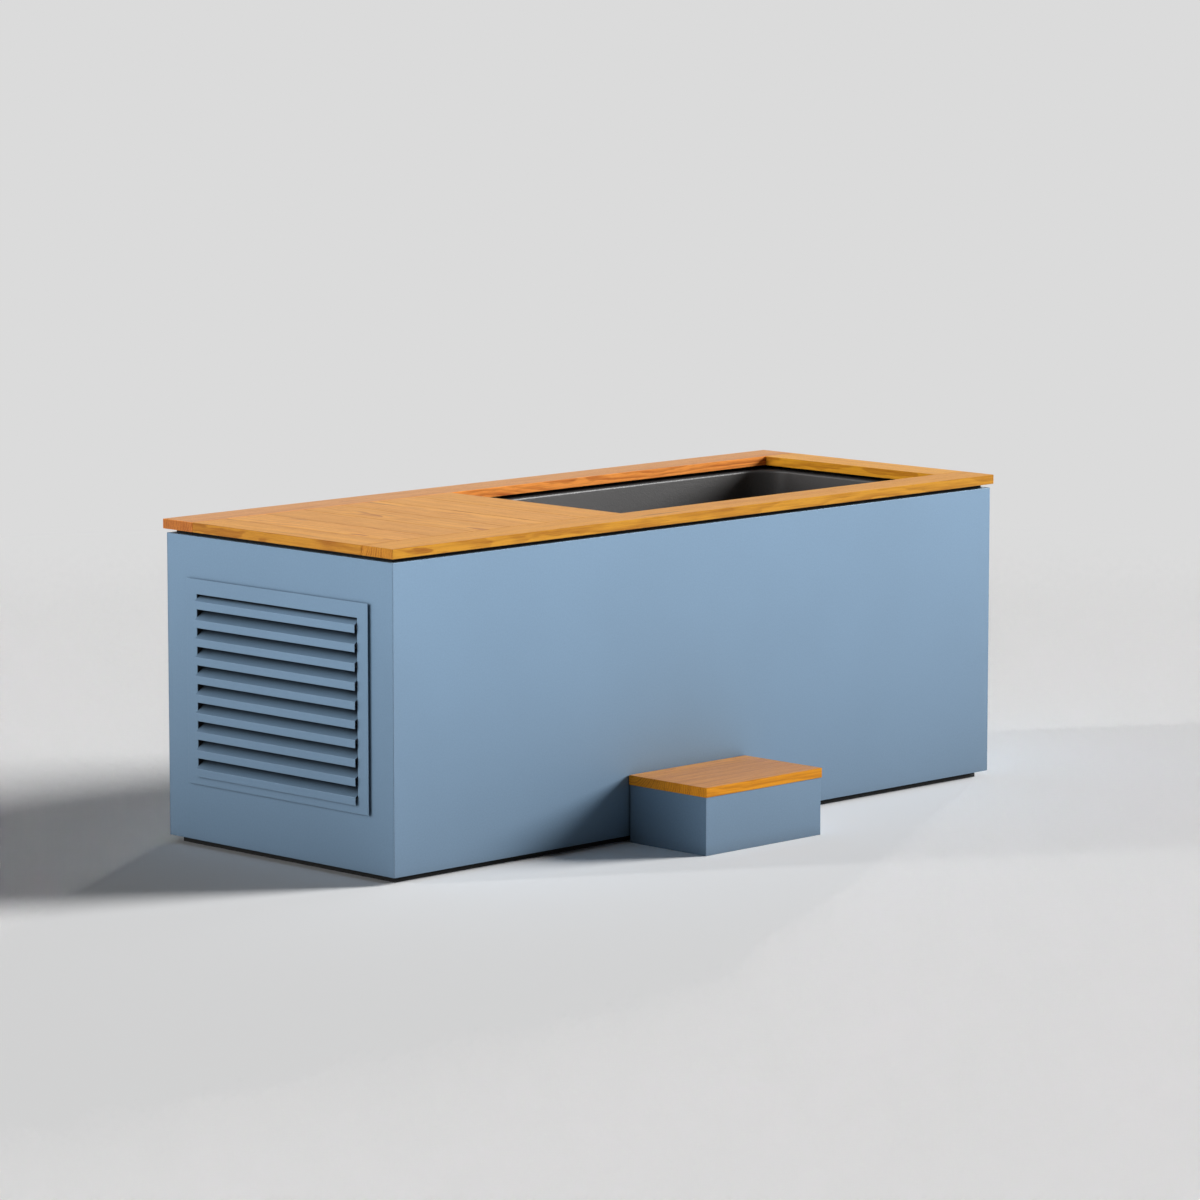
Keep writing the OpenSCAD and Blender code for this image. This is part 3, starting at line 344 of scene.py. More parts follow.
FINISHES = {
    "cabinet_paint": cabinet_coat("blue_powder_coat_painted_shade", 0.3),
    # The louvre's coat takes heavy painted shade in its hollows, darkening its slots.
    "louvre_paint_with_painted_shade": cabinet_coat("blue_louvre_coat_painted_shade", 0.95),
    "deck_timber": finish_of("oiled_timber", "timber", {}, 0.36, 0.25, 0.0003, specular=0.24),
    "batten_timber": finish_of("sawn_timber", "moulded", {"Colour": paint(176, 128, 82), "Grain": 160.0},
                               0.7, 0.3, 0.0008),
    "black_trim": finish_of("black_trim", "moulded", {"Colour": paint(9, 9, 9), "Dust": 0.0}, 0.6,
                            specular=0.2),
    # The duct behind the louvre is near black, as painted shade for the dark inside of the louvre.
    "duct_black": finish_of("black_duct_painted_shade", "powder", {"Paint": paint(14, 14, 15), "Rub": 0.02}, 0.5),
    "chassis_steel": finish_of("primed_steel", "powder", {"Paint": paint(84, 88, 92)}, 0.42),
    "tub_grey": finish_of("grey_tub_shell", "moulded", {"Colour": paint(56, 55, 55), "Grain": 330.0,
                                                        "Dust": 0.0}, 0.36, 0.35, 0.0006, specular=0.4),
    "foam": finish_of("pale_foam", "moulded", {"Colour": paint(226, 212, 170), "Grain": 120.0},
                      0.8, 0.6, 0.002),
    "fitting_grey": finish_of("grey_fitting", "moulded", {"Colour": paint(86, 88, 91), "Grain": 700.0},
                              0.35),
    "pipe_white": finish_of("white_pipe", "moulded", {"Colour": paint(226, 226, 220), "Grain": 900.0,
                                                      "Dust": 0.25}, 0.25, 0.03),
    "lever_red": finish_of("red_lever", "powder", {"Paint": paint(176, 38, 32), "Rub": 0.35}, 0.3),
    "zinc_sheet": finish_of("zinc_sheet", "sheet", {"Tarnish": 0.35}, 0.3, 0.06, metallic=1.0),
    "compressor_black": finish_of("black_enamel", "powder", {"Paint": paint(24, 24, 26), "Rub": 0.3}, 0.25),
    "coil_fins": finish_of("coil_fins", "sheet", {"Along": (260.0, 700.0, 4.0), "Tarnish": 0.2},
                           0.35, 0.5, 0.001, metallic=1.0),
    "shroud_grey": finish_of("grey_shroud", "moulded", {"Colour": paint(52, 54, 57), "Dust": 0.4}, 0.45),
    "copper": finish_of("drawn_copper", "sheet", {"Metal": paint(214, 138, 96), "Tarnish": 0.5},
                        0.22, 0.05, metallic=1.0),
    "exchanger_shell": finish_of("exchanger_shell", "moulded", {"Colour": paint(178, 182, 186),
                                                                "Dust": 0.2}, 0.3),
    "filter_lid_blue": finish_of("blue_lid", "moulded", {"Colour": paint(38, 82, 150)}, 0.3),
    "filter_paper": finish_of("filter_paper", "moulded", {"Colour": paint(236, 236, 230), "Grain": 900.0,
                                                          "Dust": 0.5}, 0.85),
    "control_grey": finish_of("control_grey", "moulded", {"Colour": paint(150, 152, 155),
                                                          "Grain": 800.0}, 0.38),
    "key_black": finish_of("key_rubber", "moulded", {"Colour": paint(26, 26, 28), "Grain": 900.0}, 0.6),
    "gland_black": finish_of("gland_nylon", "moulded", {"Colour": paint(22, 22, 23)}, 0.4),
}
SLOT_OF = {row["node"]: row["material_slot"] for row in frame["record"]["subparts"]}


def dress(piece, slot_name):
    """Gives a piece one finish all over."""
    piece.data.materials.clear()
    piece.data.materials.append(FINISHES[slot_name])


EDGE_WIDTH = 0.0008
TOUCHING = 1e-5


def ease_edges(piece):
    """Welds, flattens and rounds a hard-edged piece with modifiers, so its own mesh stays as it is."""
    weld = piece.modifiers.new("weld", "WELD")
    weld.merge_threshold = TOUCHING
    flat = piece.modifiers.new("flat", "DECIMATE")
    flat.decimate_type = "DISSOLVE"
    flat.angle_limit = math.radians(0.8)
    round_off = piece.modifiers.new("ease", "BEVEL")
    round_off.width = EDGE_WIDTH
    round_off.segments = 2
    round_off.limit_method = "ANGLE"
    round_off.angle_limit = math.radians(35)
    round_off.harden_normals = True


def list_in_order(bm):
    """Lists the faces by their points, because a bevel can leave them in another order on each run."""
    bm.verts.index_update()
    count = len(bm.verts)

    def place(face):
        first, second, third = sorted(vert.index for vert in face.verts)[:3]
        return (first * count + second) * count + third

    bm.faces.sort(key=place)


def new_piece(name, bm, body, slot_name, replaced=(), sharp=32):
    """Turns a built mesh into a piece that rides on a body and stands for its CAD nodes."""
    mesh = bpy.data.meshes.new(name)
    bmesh.ops.recalc_face_normals(bm, faces=bm.faces[:])
    list_in_order(bm)
    bm.to_mesh(mesh)
    bm.free()
    piece = bpy.data.objects.new(name, mesh)
    bpy.context.scene.collection.objects.link(piece)
    mesh.shade_smooth()
    mesh.set_sharp_from_angle(angle=math.radians(sharp))
    dress(piece, slot_name)
    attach(piece, body)
    if replaced:
        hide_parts(*replaced)
    return piece


# Shapes that the machine pieces are made of, in millimetres
MM = 0.001
TURNS = {"x": lambda a, b, h: (h, a, b), "y": lambda a, b, h: (b, h, a), "z": lambda a, b, h: (a, b, h)}


def turned(bm, profile, base, axis="z", steps=48):
    """Adds a turned piece: profile lists (radius, height), with the heights from base along the axis."""
    rings = []
    for radius, height in profile:
        count = steps if radius > 0 else 1
        ring = []
        for index in range(count):
            angle = 2 * math.pi * index / steps
            point = Vector(TURNS[axis](radius * math.cos(angle), radius * math.sin(angle), height))
            ring.append(bm.verts.new((point + Vector(base)) * MM))
        rings.append(ring)
    for low, high in zip(rings, rings[1:]):
        for index in range(steps):
            after = (index + 1) % steps
            corners = [low[index % len(low)], low[after % len(low)],
                       high[after % len(high)], high[index % len(high)]]
            corners = list(dict.fromkeys(corners))
            if len(corners) > 2:
                bm.faces.new(corners)
    return bm


def swept(bm, points, radius, sides=12, closed=False):
    """Adds a round rod that follows the points."""
    points = [Vector(p) * MM for p in points]
    count = len(points)
    side = None
    rings = []
    for index, point in enumerate(points):
        before = points[index - 1] if index or closed else point
        after = points[(index + 1) % count] if index < count - 1 or closed else point
        way = (after - before).normalized()
        if side is None:
            side = way.orthogonal().normalized()
        side = (side - way * side.dot(way)).normalized()
        other = way.cross(side)
        rings.append([bm.verts.new(point + (side * math.cos(a) + other * math.sin(a)) * radius * MM)
                      for a in (2 * math.pi * k / sides for k in range(sides))])
    pairs = list(zip(rings, rings[1:])) + ([(rings[-1], rings[0])] if closed else [])
    for low, high in pairs:
        for k in range(sides):
            bm.faces.new((low[k], low[(k + 1) % sides], high[(k + 1) % sides], high[k]))
    if not closed:
        bm.faces.new(rings[0])
        bm.faces.new(rings[-1])


def eased_block(bm, low, high, ease=1.0, segments=2):
    """Adds a block between two corners with rounded edges."""
    made = bmesh.ops.create_cube(bm, size=1)["verts"]
    low, high = Vector(low) * MM, Vector(high) * MM
    for vert in made:
        vert.co = (low + high) / 2 + Vector(a * b for a, b in zip(vert.co, high - low))
    edges = list(dict.fromkeys(edge for vert in made for edge in vert.link_edges))
    bmesh.ops.bevel(bm, geom=edges, offset=ease * MM, segments=segments, profile=0.5, affect="EDGES")
    return bm


def circle(middle, radius, steps=48):
    """Points of a circle round the x axis."""
    return [Vector(middle) + Vector(TURNS["x"](radius * math.cos(a), radius * math.sin(a), 0))
            for a in (2 * math.pi * k / steps for k in range(steps))]


def spoke(bm, hub, turn, reach, radius, sides):
    """Adds a rod that runs straight out from a hub, square to the x axis."""
    x, y, z = hub
    swept(bm, [(x, y + r * math.cos(turn), z + r * math.sin(turn)) for r in reach], radius, sides)


def quarter_turn(steps):
    """Angles of a quarter turn, both ends included."""
    return [math.pi / 2 * index / steps for index in range(steps + 1)]


def corners_mm(node):
    low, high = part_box(node)
    return low / MM, high / MM


# Timber top: sizes in millimetres, then the painted shade on a board's sawn sides and ends, on the ends
# partly the end grain's own darkness
BOARD_THICK = 25
BOARD_EASE = 1.6
HATCH_BOARDS = 5
CLEAT_WIDTH = 45
CLEAT_INSET = 24.8
CLEAT_TOP = 24
FLANK_PAINTED_SHADE = (0.84, 0.81, 0.66)
END_GRAIN_AND_PAINTED_SHADE = (0.8, 0.72, 0.66)


def timber(node, body, along, pith, tone_and_painted_light, flank=FLANK_PAINTED_SHADE, end=END_GRAIN_AND_PAINTED_SHADE, cleats=()):
    """A planed board with eased edges in the place of a CAD board.

    pith is where the heart of its log lies, across and above the board's middle, in metres. The tone given
    for the board is its top's colour: its own tone, lifted in the blue as a painted sheen;
    flank and end scale it on the sawn sides and on the end grain as painted light and shade, the ends'
    darkness partly the end grain's own.
    """
    low, high = corners_mm(node)
    low.z = high.z - BOARD_THICK
    middle = (low + high) / 2 * MM
    bm = eased_block(bmesh.new(), low, high, BOARD_EASE, 3)
    for cleat in cleats:
        eased_block(bm, *cleat)
    piece = new_piece("board_" + node, bm, body, "deck_timber", (node,))
    piece.modifiers.new("even_normals", "WEIGHTED_NORMAL").keep_sharp = True
    mark_grain(piece, middle, along, pith, (tone_and_painted_light, flank, end))


def mark_grain(piece, middle, along, pith, tones_and_painted_light):
    """Writes where each point lies in its log: along the grain, then across and up from the pith; also each
    point's tone, with painted sheen on the top and painted light and shade on the sides and ends.
    """
    shift = chance.uniform(-40, 40)
    top = max(vert.co.z for vert in piece.data.vertices)
    axis = 0 if along == "x" else 1
    reach = max(abs(vert.co[axis] - middle[axis]) for vert in piece.data.vertices)
    own, flank, end = (Vector(tone_and_painted_light) for tone_and_painted_light in tones_and_painted_light)
    grain = piece.data.attributes.new("grain", "FLOAT_VECTOR", "POINT")
    colour = piece.data.attributes.new("tone_and_painted_light", "FLOAT_VECTOR", "POINT")
    for index, vert in enumerate(piece.data.vertices):
        away = vert.co - middle
        lengthwise, across = (away.x, away.y) if along == "x" else (away.y, away.x)
        grain.data[index].vector = (lengthwise + shift, across - pith[0], away.z - pith[1])
        if top - vert.co.z < TOUCHING:
            colour.data[index].vector = own
        else:
            colour.data[index].vector = own * (end if reach - abs(lengthwise) < TOUCHING else flank)


def timber_top():
    # Each board's tone is lifted in the blue as a painted sheen on its top; the flank and end values light
    # or shade its sides and ends as painted light and shade.
    timber("front_rail", "cabinet", "x", (0.085, 0.012), (1.04, 1.05, 1.5), (0.85, 0.86, 0.76))
    timber("back_rail", "cabinet", "x", (-0.09, 0.02), (0.96, 1.0, 3.8), (1.4, 1.1, 0.76),
           (0.8, 0.57, 0.35))
    timber("left_rail", "cabinet", "y", (0.10, -0.01), (1.06, 1.08, 1.7), (0.79, 0.76, 0.67))
    timber("right_rail", "cabinet", "y", (-0.10, 0.01), (1.15, 1.24, 2.1), (0.89, 0.82, 0.43))
    timber("divider_board", "cabinet", "y", (0.16, 0.03), (1.05, 1.07, 1.95))
    for index in range(1, HATCH_BOARDS + 1):
        heart = (chance.uniform(-0.2, 0.2), chance.choice((-0.12, -0.09, 0.1)))
        shade = chance.uniform(0.955, 1.02)
        timber(f"hatch_board_{index}", "hatch", "y", heart, (shade * 1.07, shade * 1.1, shade * 2.2))
    low, high = corners_mm("step_top")
    cleats = []
    for x in (low.x + CLEAT_INSET, high.x - CLEAT_INSET - CLEAT_WIDTH):
        cleats.append(((x, low.y + CLEAT_INSET, low.z),
                       (x + CLEAT_WIDTH, high.y - CLEAT_INSET, high.z - CLEAT_TOP)))
    timber("step_top", "step", "x", (0.12, 0.06), (0.91, 0.78, 0.45), (1.0, 1.02, 0.88), (1.08, 1.07, 1.0),
           cleats)


def carried_over():
    """Every CAD node that still shows gets its finish and eased edges."""
    for node, piece in NODES.items():
        dress(piece, "louvre_paint_with_painted_shade" if node.startswith("louvre_blade") else SLOT_OF[node])
        if node != "tub_shell":
            ease_edges(piece)


# Tub, in millimetres
FLANGE, WALL, CORNER, COVE, ROLL = 82, 5, 90, 50, 7


def round_rectangle(middle, half_x, half_y, radius, height, steps=9):
    points = []
    for quarter, (sign_x, sign_y) in enumerate(((1, 1), (-1, 1), (-1, -1), (1, -1))):
        for index in range(steps + 1):
            angle = math.pi / 2 * (quarter + index / steps)
            points.append((middle + sign_x * (half_x - radius) + radius * math.cos(angle),
                           sign_y * (half_y - radius) + radius * math.sin(angle), height))
    return points


def tub():
    """The moulded shell, in and out: flange, rolled rim, straight walls, round corners, coved floor."""
    low, high = corners_mm("tub_shell")
    middle = (low.x + high.x) / 2
    half_x, half_y = (high.x - low.x) / 2 - FLANGE, (high.y - low.y) / 2 - FLANGE
    rim, floor, seat = high.z, low.z + WALL, high.z - WALL
    levels = [(half_x + FLANGE, half_y + FLANGE, 4, seat), (half_x + FLANGE, half_y + FLANGE, 4, rim - 1),
              (half_x + FLANGE - 1, half_y + FLANGE - 1, 4, rim)]
    for turn in quarter_turn(6):
        out = ROLL * (1 - math.sin(turn))
        levels.append((half_x + out, half_y + out, CORNER + out, rim - ROLL + ROLL * math.cos(turn)))
    levels.append((half_x, half_y, CORNER, (rim + floor) / 2))
    for turn in quarter_turn(10):
        inward = COVE * (1 - math.cos(turn))
        levels.append((half_x - inward, half_y - inward, CORNER - inward,
                       floor + COVE - COVE * math.sin(turn)))
    inner = [round_rectangle(middle, *level) for level in levels]
    levels = [(half_x + WALL, half_y + WALL, CORNER + WALL, seat)]
    for turn in quarter_turn(8):
        inward = (COVE + WALL) * (1 - math.cos(turn))
        levels.append((half_x + WALL - inward, half_y + WALL - inward, CORNER + WALL - inward,
                       floor + COVE - (COVE + WALL) * math.sin(turn)))
    outer = [round_rectangle(middle, *level) for level in levels]
    bm = bmesh.new()
    rings = [[bm.verts.new(Vector(p) * MM) for p in ring] for ring in outer[::-1] + inner]
    for first, second in zip(rings, rings[1:]):
        for index in range(len(first)):
            after = (index + 1) % len(first)
            bm.faces.new((first[index], first[after], second[after], second[index]))
    bm.faces.new(rings[0])
    bm.faces.new(rings[-1])
    new_piece("moulded_tub", bm, "cabinet", "tub_grey", ("tub_shell",), sharp=50)


# Both wall fittings have the same threaded tail and back nut, as (radius, length from the back)
FITTING_TAIL = [(0, 0), (20, 0), (20, 84), (27, 84), (29, 86), (29, 96), (20, 96)]


def return_jet():
    """Eyeball jet in a rose with three screws."""
    low, high = corners_mm("return_nozzle")
    at = (low.x, (low.y + high.y) / 2, (low.z + high.z) / 2)
    face, screw_circle = high.x - low.x, 27.6
    rose = [(20, face - 9), (34, face - 9), (34, face - 3), (31, face - 0.4), (24, face), (22.5, face - 2),
            (20, face - 2.4), (18, face - 0.4), (14.5, face - 0.2), (12.5, face - 2), (11.5, face - 14),
            (0, face - 14)]
    screw = [(0, face - 2), (2.4, face - 2), (2.4, face + 0.2), (1.6, face + 0.7), (0, face + 0.7)]
    bm = turned(bmesh.new(), FITTING_TAIL + rose, at, "x", 64)
    for index in range(3):
        turn = 2 * math.pi * index / 3
        spot = (at[0], at[1] + screw_circle * math.cos(turn), at[2] + screw_circle * math.sin(turn))
        turned(bm, screw, spot, "x", 16)
    new_piece("return_jet", bm, "cabinet", "fitting_grey", ("return_nozzle",))


def suction_cover():
    """Round cover with four ring slots and the spokes across them."""
    low, high = corners_mm("suction_grille")
    at = (low.x, (low.y + high.y) / 2, (low.z + high.z) / 2)
    face = high.x - low.x
    cover = [(20, face - 8), (48, face - 8), (48, face - 3), (45.5, face - 0.5)]
    for radius in (40, 33, 26, 19):
        cover += [(radius, face), (radius - 0.4, face - 5), (radius - 3.6, face - 5), (radius - 4, face)]
    cover += [(11, face), (9, face + 0.6), (0, face + 0.8)]
    bm = turned(bmesh.new(), FITTING_TAIL + cover, at, "x", 72)
    for index in range(8):
        spoke(bm, (at[0] + face - 1.6, at[1], at[2]), math.pi * index / 4, (10, 43), 1.7, 8)
    new_piece("suction_cover", bm, "cabinet", "fitting_grey", ("suction_grille",))


# Machine bay: places that more than one machine shares, in millimetres
FAN_HEIGHT = 421
SUCTION_Y, SUCTION_HEIGHT = -150, 235
RETURN_Y, RETURN_HEIGHT = 99.7, 560
PUMP_HEIGHT = 151.6
PUMP_OUTLET = 182
LOW_PIPE, BOWL_PIPE, HIGH_PIPE = 130, 330, 400
PORT_REACH = 87


def compressor():
    """Welded can with a seam, a domed lid, three rubber feet and a terminal cover."""
    low, high = corners_mm("compressor")
    radius, setback, tall = 72, 91.9, high.z - low.z
    at = (high.x - setback, (low.y + high.y) / 2, low.z)
    dome = [(radius * math.cos(a), tall - 30 + 30 * math.sin(a)) for a in quarter_turn(8)]
    dish = [(radius * math.sin(a), 30 - 18 * math.cos(a)) for a in quarter_turn(8)]
    seam = [(radius, 138), (radius + 2.5, 139), (radius + 2.5, 143), (radius, 144), (radius, tall - 34)]
    bm = turned(bmesh.new(), dish + seam + dome[:-1] + [(0, tall)], at, "z", 72)
    rubber = [(0, 0), (10, 0), (11, 2), (8, 5), (8, 7), (11, 10), (10, 12), (4, 12), (4, 16), (0, 16)]
    for angle in (30, 150, 270):
        way = Vector((math.cos(math.radians(angle)), math.sin(math.radians(angle)), 0))
        foot = Vector(at) + way * (radius + 2)
        swept(bm, [Vector(at) + way * 40 + Vector((0, 0, 14)), foot + Vector((0, 0, 14))], 6, 10)
        turned(bm, rubber, foot, "z", 24)
    eased_block(bm, (at[0] + 58, at[1] - 26, low.z + 102), (high.x, at[1] + 26, low.z + 162), 4, 3)
    screw = [(0, 0), (3.4, 0), (3.4, 1.6), (0, 2)]
    for side in (-18, 18):
        turned(bm, screw, (high.x - 1.8, at[1] + side, low.z + 132), "x", 12)
    turned(bm, [(11, 0), (11, 3), (9, 6), (9, 10), (0, 10)], (at[0], at[1], high.z - 6), "z", 24)
    new_piece("compressor_can", bm, "cabinet", "compressor_black", ("compressor",))


def coil():
    """Condenser: end plates, thin fins between them and the copper return bends."""
    low, high = corners_mm("condenser")
    plate, first, rail, fins, fin = 12, 199, 3, 150, 0.35
    bend_room, inset = 17.6, 1.5
    inner_low, inner_high = low.y + bend_room + plate, high.y - plate
    bm = bmesh.new()
    for y in (inner_low - plate, inner_high):
        eased_block(bm, (low.x, y, low.z), (high.x, y + plate, high.z), 1.5)
    for z in (first, high.z - rail):
        eased_block(bm, (low.x, inner_low, z), (high.x, inner_high, z + rail), 0.5, 1)
    back, front, foot, top = low.x + inset, high.x - inset, first + rail, high.z - rail
    for index in range(1, fins):
        y = inner_low + (inner_high - inner_low) * index / fins
        corners = [Vector((back, y, foot)), Vector((front, y, foot)), Vector((front, y, top)),
                   Vector((back, y, top))]
        near = [bm.verts.new(corner * MM) for corner in corners]
        far = [bm.verts.new((corner + Vector((0, fin, 0))) * MM) for corner in corners]
        bm.faces.new(near)
        bm.faces.new(far)
        for k in range(4):
            bm.faces.new((near[k], near[(k + 1) % 4], far[(k + 1) % 4], far[k]))
    new_piece("finned_coil", bm, "cabinet", "coil_fins", ("condenser",))
    bm = bmesh.new()
    rows, margin, root, bulge, aside = 8, 20, inner_low - plate, 11, 9
    pitch = (high.z - first - 2 * margin) / (2 * rows)
    for index in range(rows):
        z = first + margin + (2 * index + 1) * pitch
        for x in ((low.x + high.x) / 2 - aside, (low.x + high.x) / 2 + aside):
            bend = [(x, root - bulge * math.sin(a), z - pitch / 2 * math.cos(a))
                    for a in (math.pi / 12 * k for k in range(13))]
            swept(bm, [(x, root + 2, z - pitch / 2)] + bend + [(x, root + 2, z + pitch / 2)], 4)
    new_piece("coil_bends", bm, "cabinet", "copper")


def fan():
    """Wheel with a domed nose and five blades, and the wire guard behind it."""
    low, high = corners_mm("fan_rotor")
    middle = Vector((low.x + 13, 0, FAN_HEIGHT))
    hub, blades, shaft = 38, 5, high.x - middle.x
    wheel = [(0, -13), (16, -12.4), (28, -10), (36, -5), (hub, 0), (hub, 13), (30, 13), (28, 8), (12, 8),
             (12, 13), (5, 13), (5, shaft), (0, shaft)]
    bm = turned(bmesh.new(), wheel, middle, "x", 56)
    for blade in range(blades):
        fan_blade(bm, middle, hub, 2 * math.pi * blade / blades)
    new_piece("fan_wheel", bm, "fan", SLOT_OF["fan_rotor"], ("fan_rotor",), sharp=40)
    bm = bmesh.new()
    guard_x, guard_reach = corners_mm("fan_shroud")[1].x - 54, 187
    for radius in range(58, guard_reach, 16):
        swept(bm, circle((guard_x, 0, FAN_HEIGHT), radius), 1.1, 6, closed=True)
    for index in range(8):
        turn = math.pi * (2 * index + 1) / 8
        spoke(bm, (guard_x - 1.6, 0, FAN_HEIGHT), turn, (44, guard_reach), 1.4, 6)
    new_piece("fan_guard", bm, "cabinet", "chassis_steel")


def fan_blade(bm, middle, hub, lean):
    """Adds a swept, twisted blade: two faces of points, sewn together round the border."""
    tip, root, thick, rows, parts = 176, hub - 3, 2.2, 10, 8
    faces = []
    for lift in (-thick / 2, thick / 2):
        grid = []
        for step in range(rows + 1):
            reach = step / rows
            radius = root + (tip - root) * reach
            chord = (58 + 34 * reach) * (1 - 0.35 * max(0, reach - 0.8) / 0.2)
            pitch = math.radians(27 - 9 * reach)
            sweep = lean + 0.34 * reach ** 2
            line = []
            for part in range(parts + 1):
                along = (part / parts - 0.5) * chord
                turn = sweep + along * math.cos(pitch) / radius
                x = along * math.sin(pitch) + 2.4 * (1 - (part / 4 - 1) ** 2) + lift
                offset = Vector((x - 1, radius * math.cos(turn), radius * math.sin(turn)))
                line.append(bm.verts.new((middle + offset) * MM))
            grid.append(line)
        faces.append(grid)
    for grid in faces:
        for first, second in zip(grid, grid[1:]):
            for part in range(parts):
                bm.faces.new((first[part], first[part + 1], second[part + 1], second[part]))
    back, front = faces
    border = [(0, k) for k in range(parts + 1)] + [(k, parts) for k in range(1, rows + 1)]
    border += [(rows, k) for k in range(parts - 1, -1, -1)] + [(k, 0) for k in range(rows - 1, 0, -1)]
    for (a, b), (c, d) in zip(border, border[1:] + border[:1]):
        bm.faces.new((back[a][b], back[c][d], front[c][d], front[a][b]))


def pump():
    """Ribbed motor, terminal box, bolted volute and two threaded ports."""
    low, high = corners_mm("pump_housing")
    at = Vector((low.x, SUCTION_Y, PUMP_HEIGHT))
    motor, volute, whole = 150, 214, high.x - low.x
    cover = [(0, 2), (12, 0), (34, 0), (34, 3), (38, 3), (38, 0), (44, 0), (44, 3), (48, 3), (50, 1),
             (54, 5), (54, 30), (47, 31), (47, motor - 12), (54, motor - 12), (54, motor - 1)]
    casing = [(58, motor), (62, motor + 4), (62, motor + 26), (60, motor + 28), (60, motor + 32),
              (62, motor + 34), (62, volute - 6), (56, volute), (30, volute), (26, volute + 6), (25, whole),
              (20, whole), (20, whole - 10), (0, whole - 10)]
    bm = turned(bmesh.new(), cover + casing, at, "x", 64)
    ribs, bolts = 26, 6
    for index in range(ribs):
        turn = 2 * math.pi * index / ribs
        way = Vector((0, math.cos(turn), math.sin(turn)))
        root = [at + way * 45 + Vector((x, 0, 0)) for x in (32, motor - 12)]
        for out, thick in ((7.5, 1.4), (5, 1.7), (2.5, 2.0)):
            swept(bm, [end + way * out for end in root], thick, 6)
    for index in range(bolts):
        turn = math.pi * (2 * index + 1) / bolts
        spot = at + Vector((motor + 34, 55 * math.cos(turn), 55 * math.sin(turn)))
        turned(bm, [(0, 24), (5, 24), (5.5, 25), (5.5, 30), (4, 31.5), (0, 31.5)], spot, "x", 6)
    eased_block(bm, (low.x + 10, low.y + 7, low.z), (low.x + 140, high.y - 7, low.z + 6), 1.5)
    eased_block(bm, (low.x + 30, SUCTION_Y - 30, low.z + 4), (low.x + 120, SUCTION_Y + 30, 116), 3)
    eased_block(bm, (low.x + 52, SUCTION_Y - 28, 196), (low.x + 112, SUCTION_Y + 28, 222), 3, 3)
    up = high.z - PUMP_HEIGHT
    outlet = [(25, 0), (25, 62), (27, 63), (27, high.z - 158), (25, high.z - 157), (25, up), (20, up),
              (20, high.z - 160), (0, high.z - 160)]
    turned(bm, outlet, (low.x + PUMP_OUTLET, SUCTION_Y, PUMP_HEIGHT), "z", 40)
    new_piece("circulation_pump", bm, "cabinet", "fitting_grey", ("pump_housing",))


def filter_housing():
    """Ribbed bowl with a stepped collar and two ports."""
    low, high = corners_mm("filter_bowl")
    at = (high.x - PORT_REACH, high.y - PORT_REACH, low.z)
    tall, ribs = high.z - low.z, 12
    bowl = [(0, 0), (60, 0), (70, 3), (73, 10), (73, tall - 64), (75, tall - 60), (75, tall - 44),
            (73, tall - 42), (73, tall - 34), (75, tall - 32), (75, tall - 2), (74, tall), (69, tall),
            (68, tall - 3), (68, 8), (0, 7)]
    bm = turned(bmesh.new(), bowl, at, "z", 72)
    for index in range(ribs):
        turn = 2 * math.pi * (index + 0.5) / ribs
        root = Vector(at) + Vector((73 * math.cos(turn), 73 * math.sin(turn), 0))
        swept(bm, [root + Vector((0, 0, 8)), root + Vector((0, 0, tall - 62))], 2, 8)
    port = [(0, 60), (22, 60), (22, 72), (25, 74), (25, PORT_REACH), (20, PORT_REACH), (20, 80), (0, 80)]
    turned(bm, port, (at[0], at[1], BOWL_PIPE), "x", 40)
    turned(bm, port, (at[0], at[1], LOW_PIPE), "y", 40)
    new_piece("filter_housing", bm, "cabinet", SLOT_OF["filter_bowl"], ("filter_bowl",))


def exchanger():
    """Banded upright shell on a foot, with two ports and two clips."""
    low, high = corners_mm("heat_exchanger")
    collar, tall = 69, high.z - low.z
    at = ((low.x + high.x) / 2, high.y - collar, low.z)
    shell = [(0, 0), (50, 0), (53, 2), (53, 14), (66, 14), (collar, 17), (collar, 25), (67, 28), (65, 28)]
    for z in (108, 228, 300):
        shell += [(65, z), (66.4, z + 1), (66.4, z + 13), (65, z + 14)]
    shell += [(65, tall - 14), (67, tall - 14), (collar, tall - 11), (collar, tall - 4), (65, tall - 1),
              (40, tall), (0, tall)]
    bm = turned(bmesh.new(), shell, at, "z", 72)
    port = [(0, -60), (22, -60), (22, -68), (25, -70), (25, -77), (20, -77), (20, -72), (0, -72)]
    for z in (LOW_PIPE, HIGH_PIPE):
        turned(bm, port, (at[0], at[1], z), "y", 40)
    for z in (114, 234):
        eased_block(bm, (at[0] - 9, at[1] - 72, low.z + z - 5), (at[0] + 9, at[1] - 64, low.z + z + 7), 1)
    new_piece("exchanger_shell", bm, "cabinet", SLOT_OF["heat_exchanger"], ("heat_exchanger",))


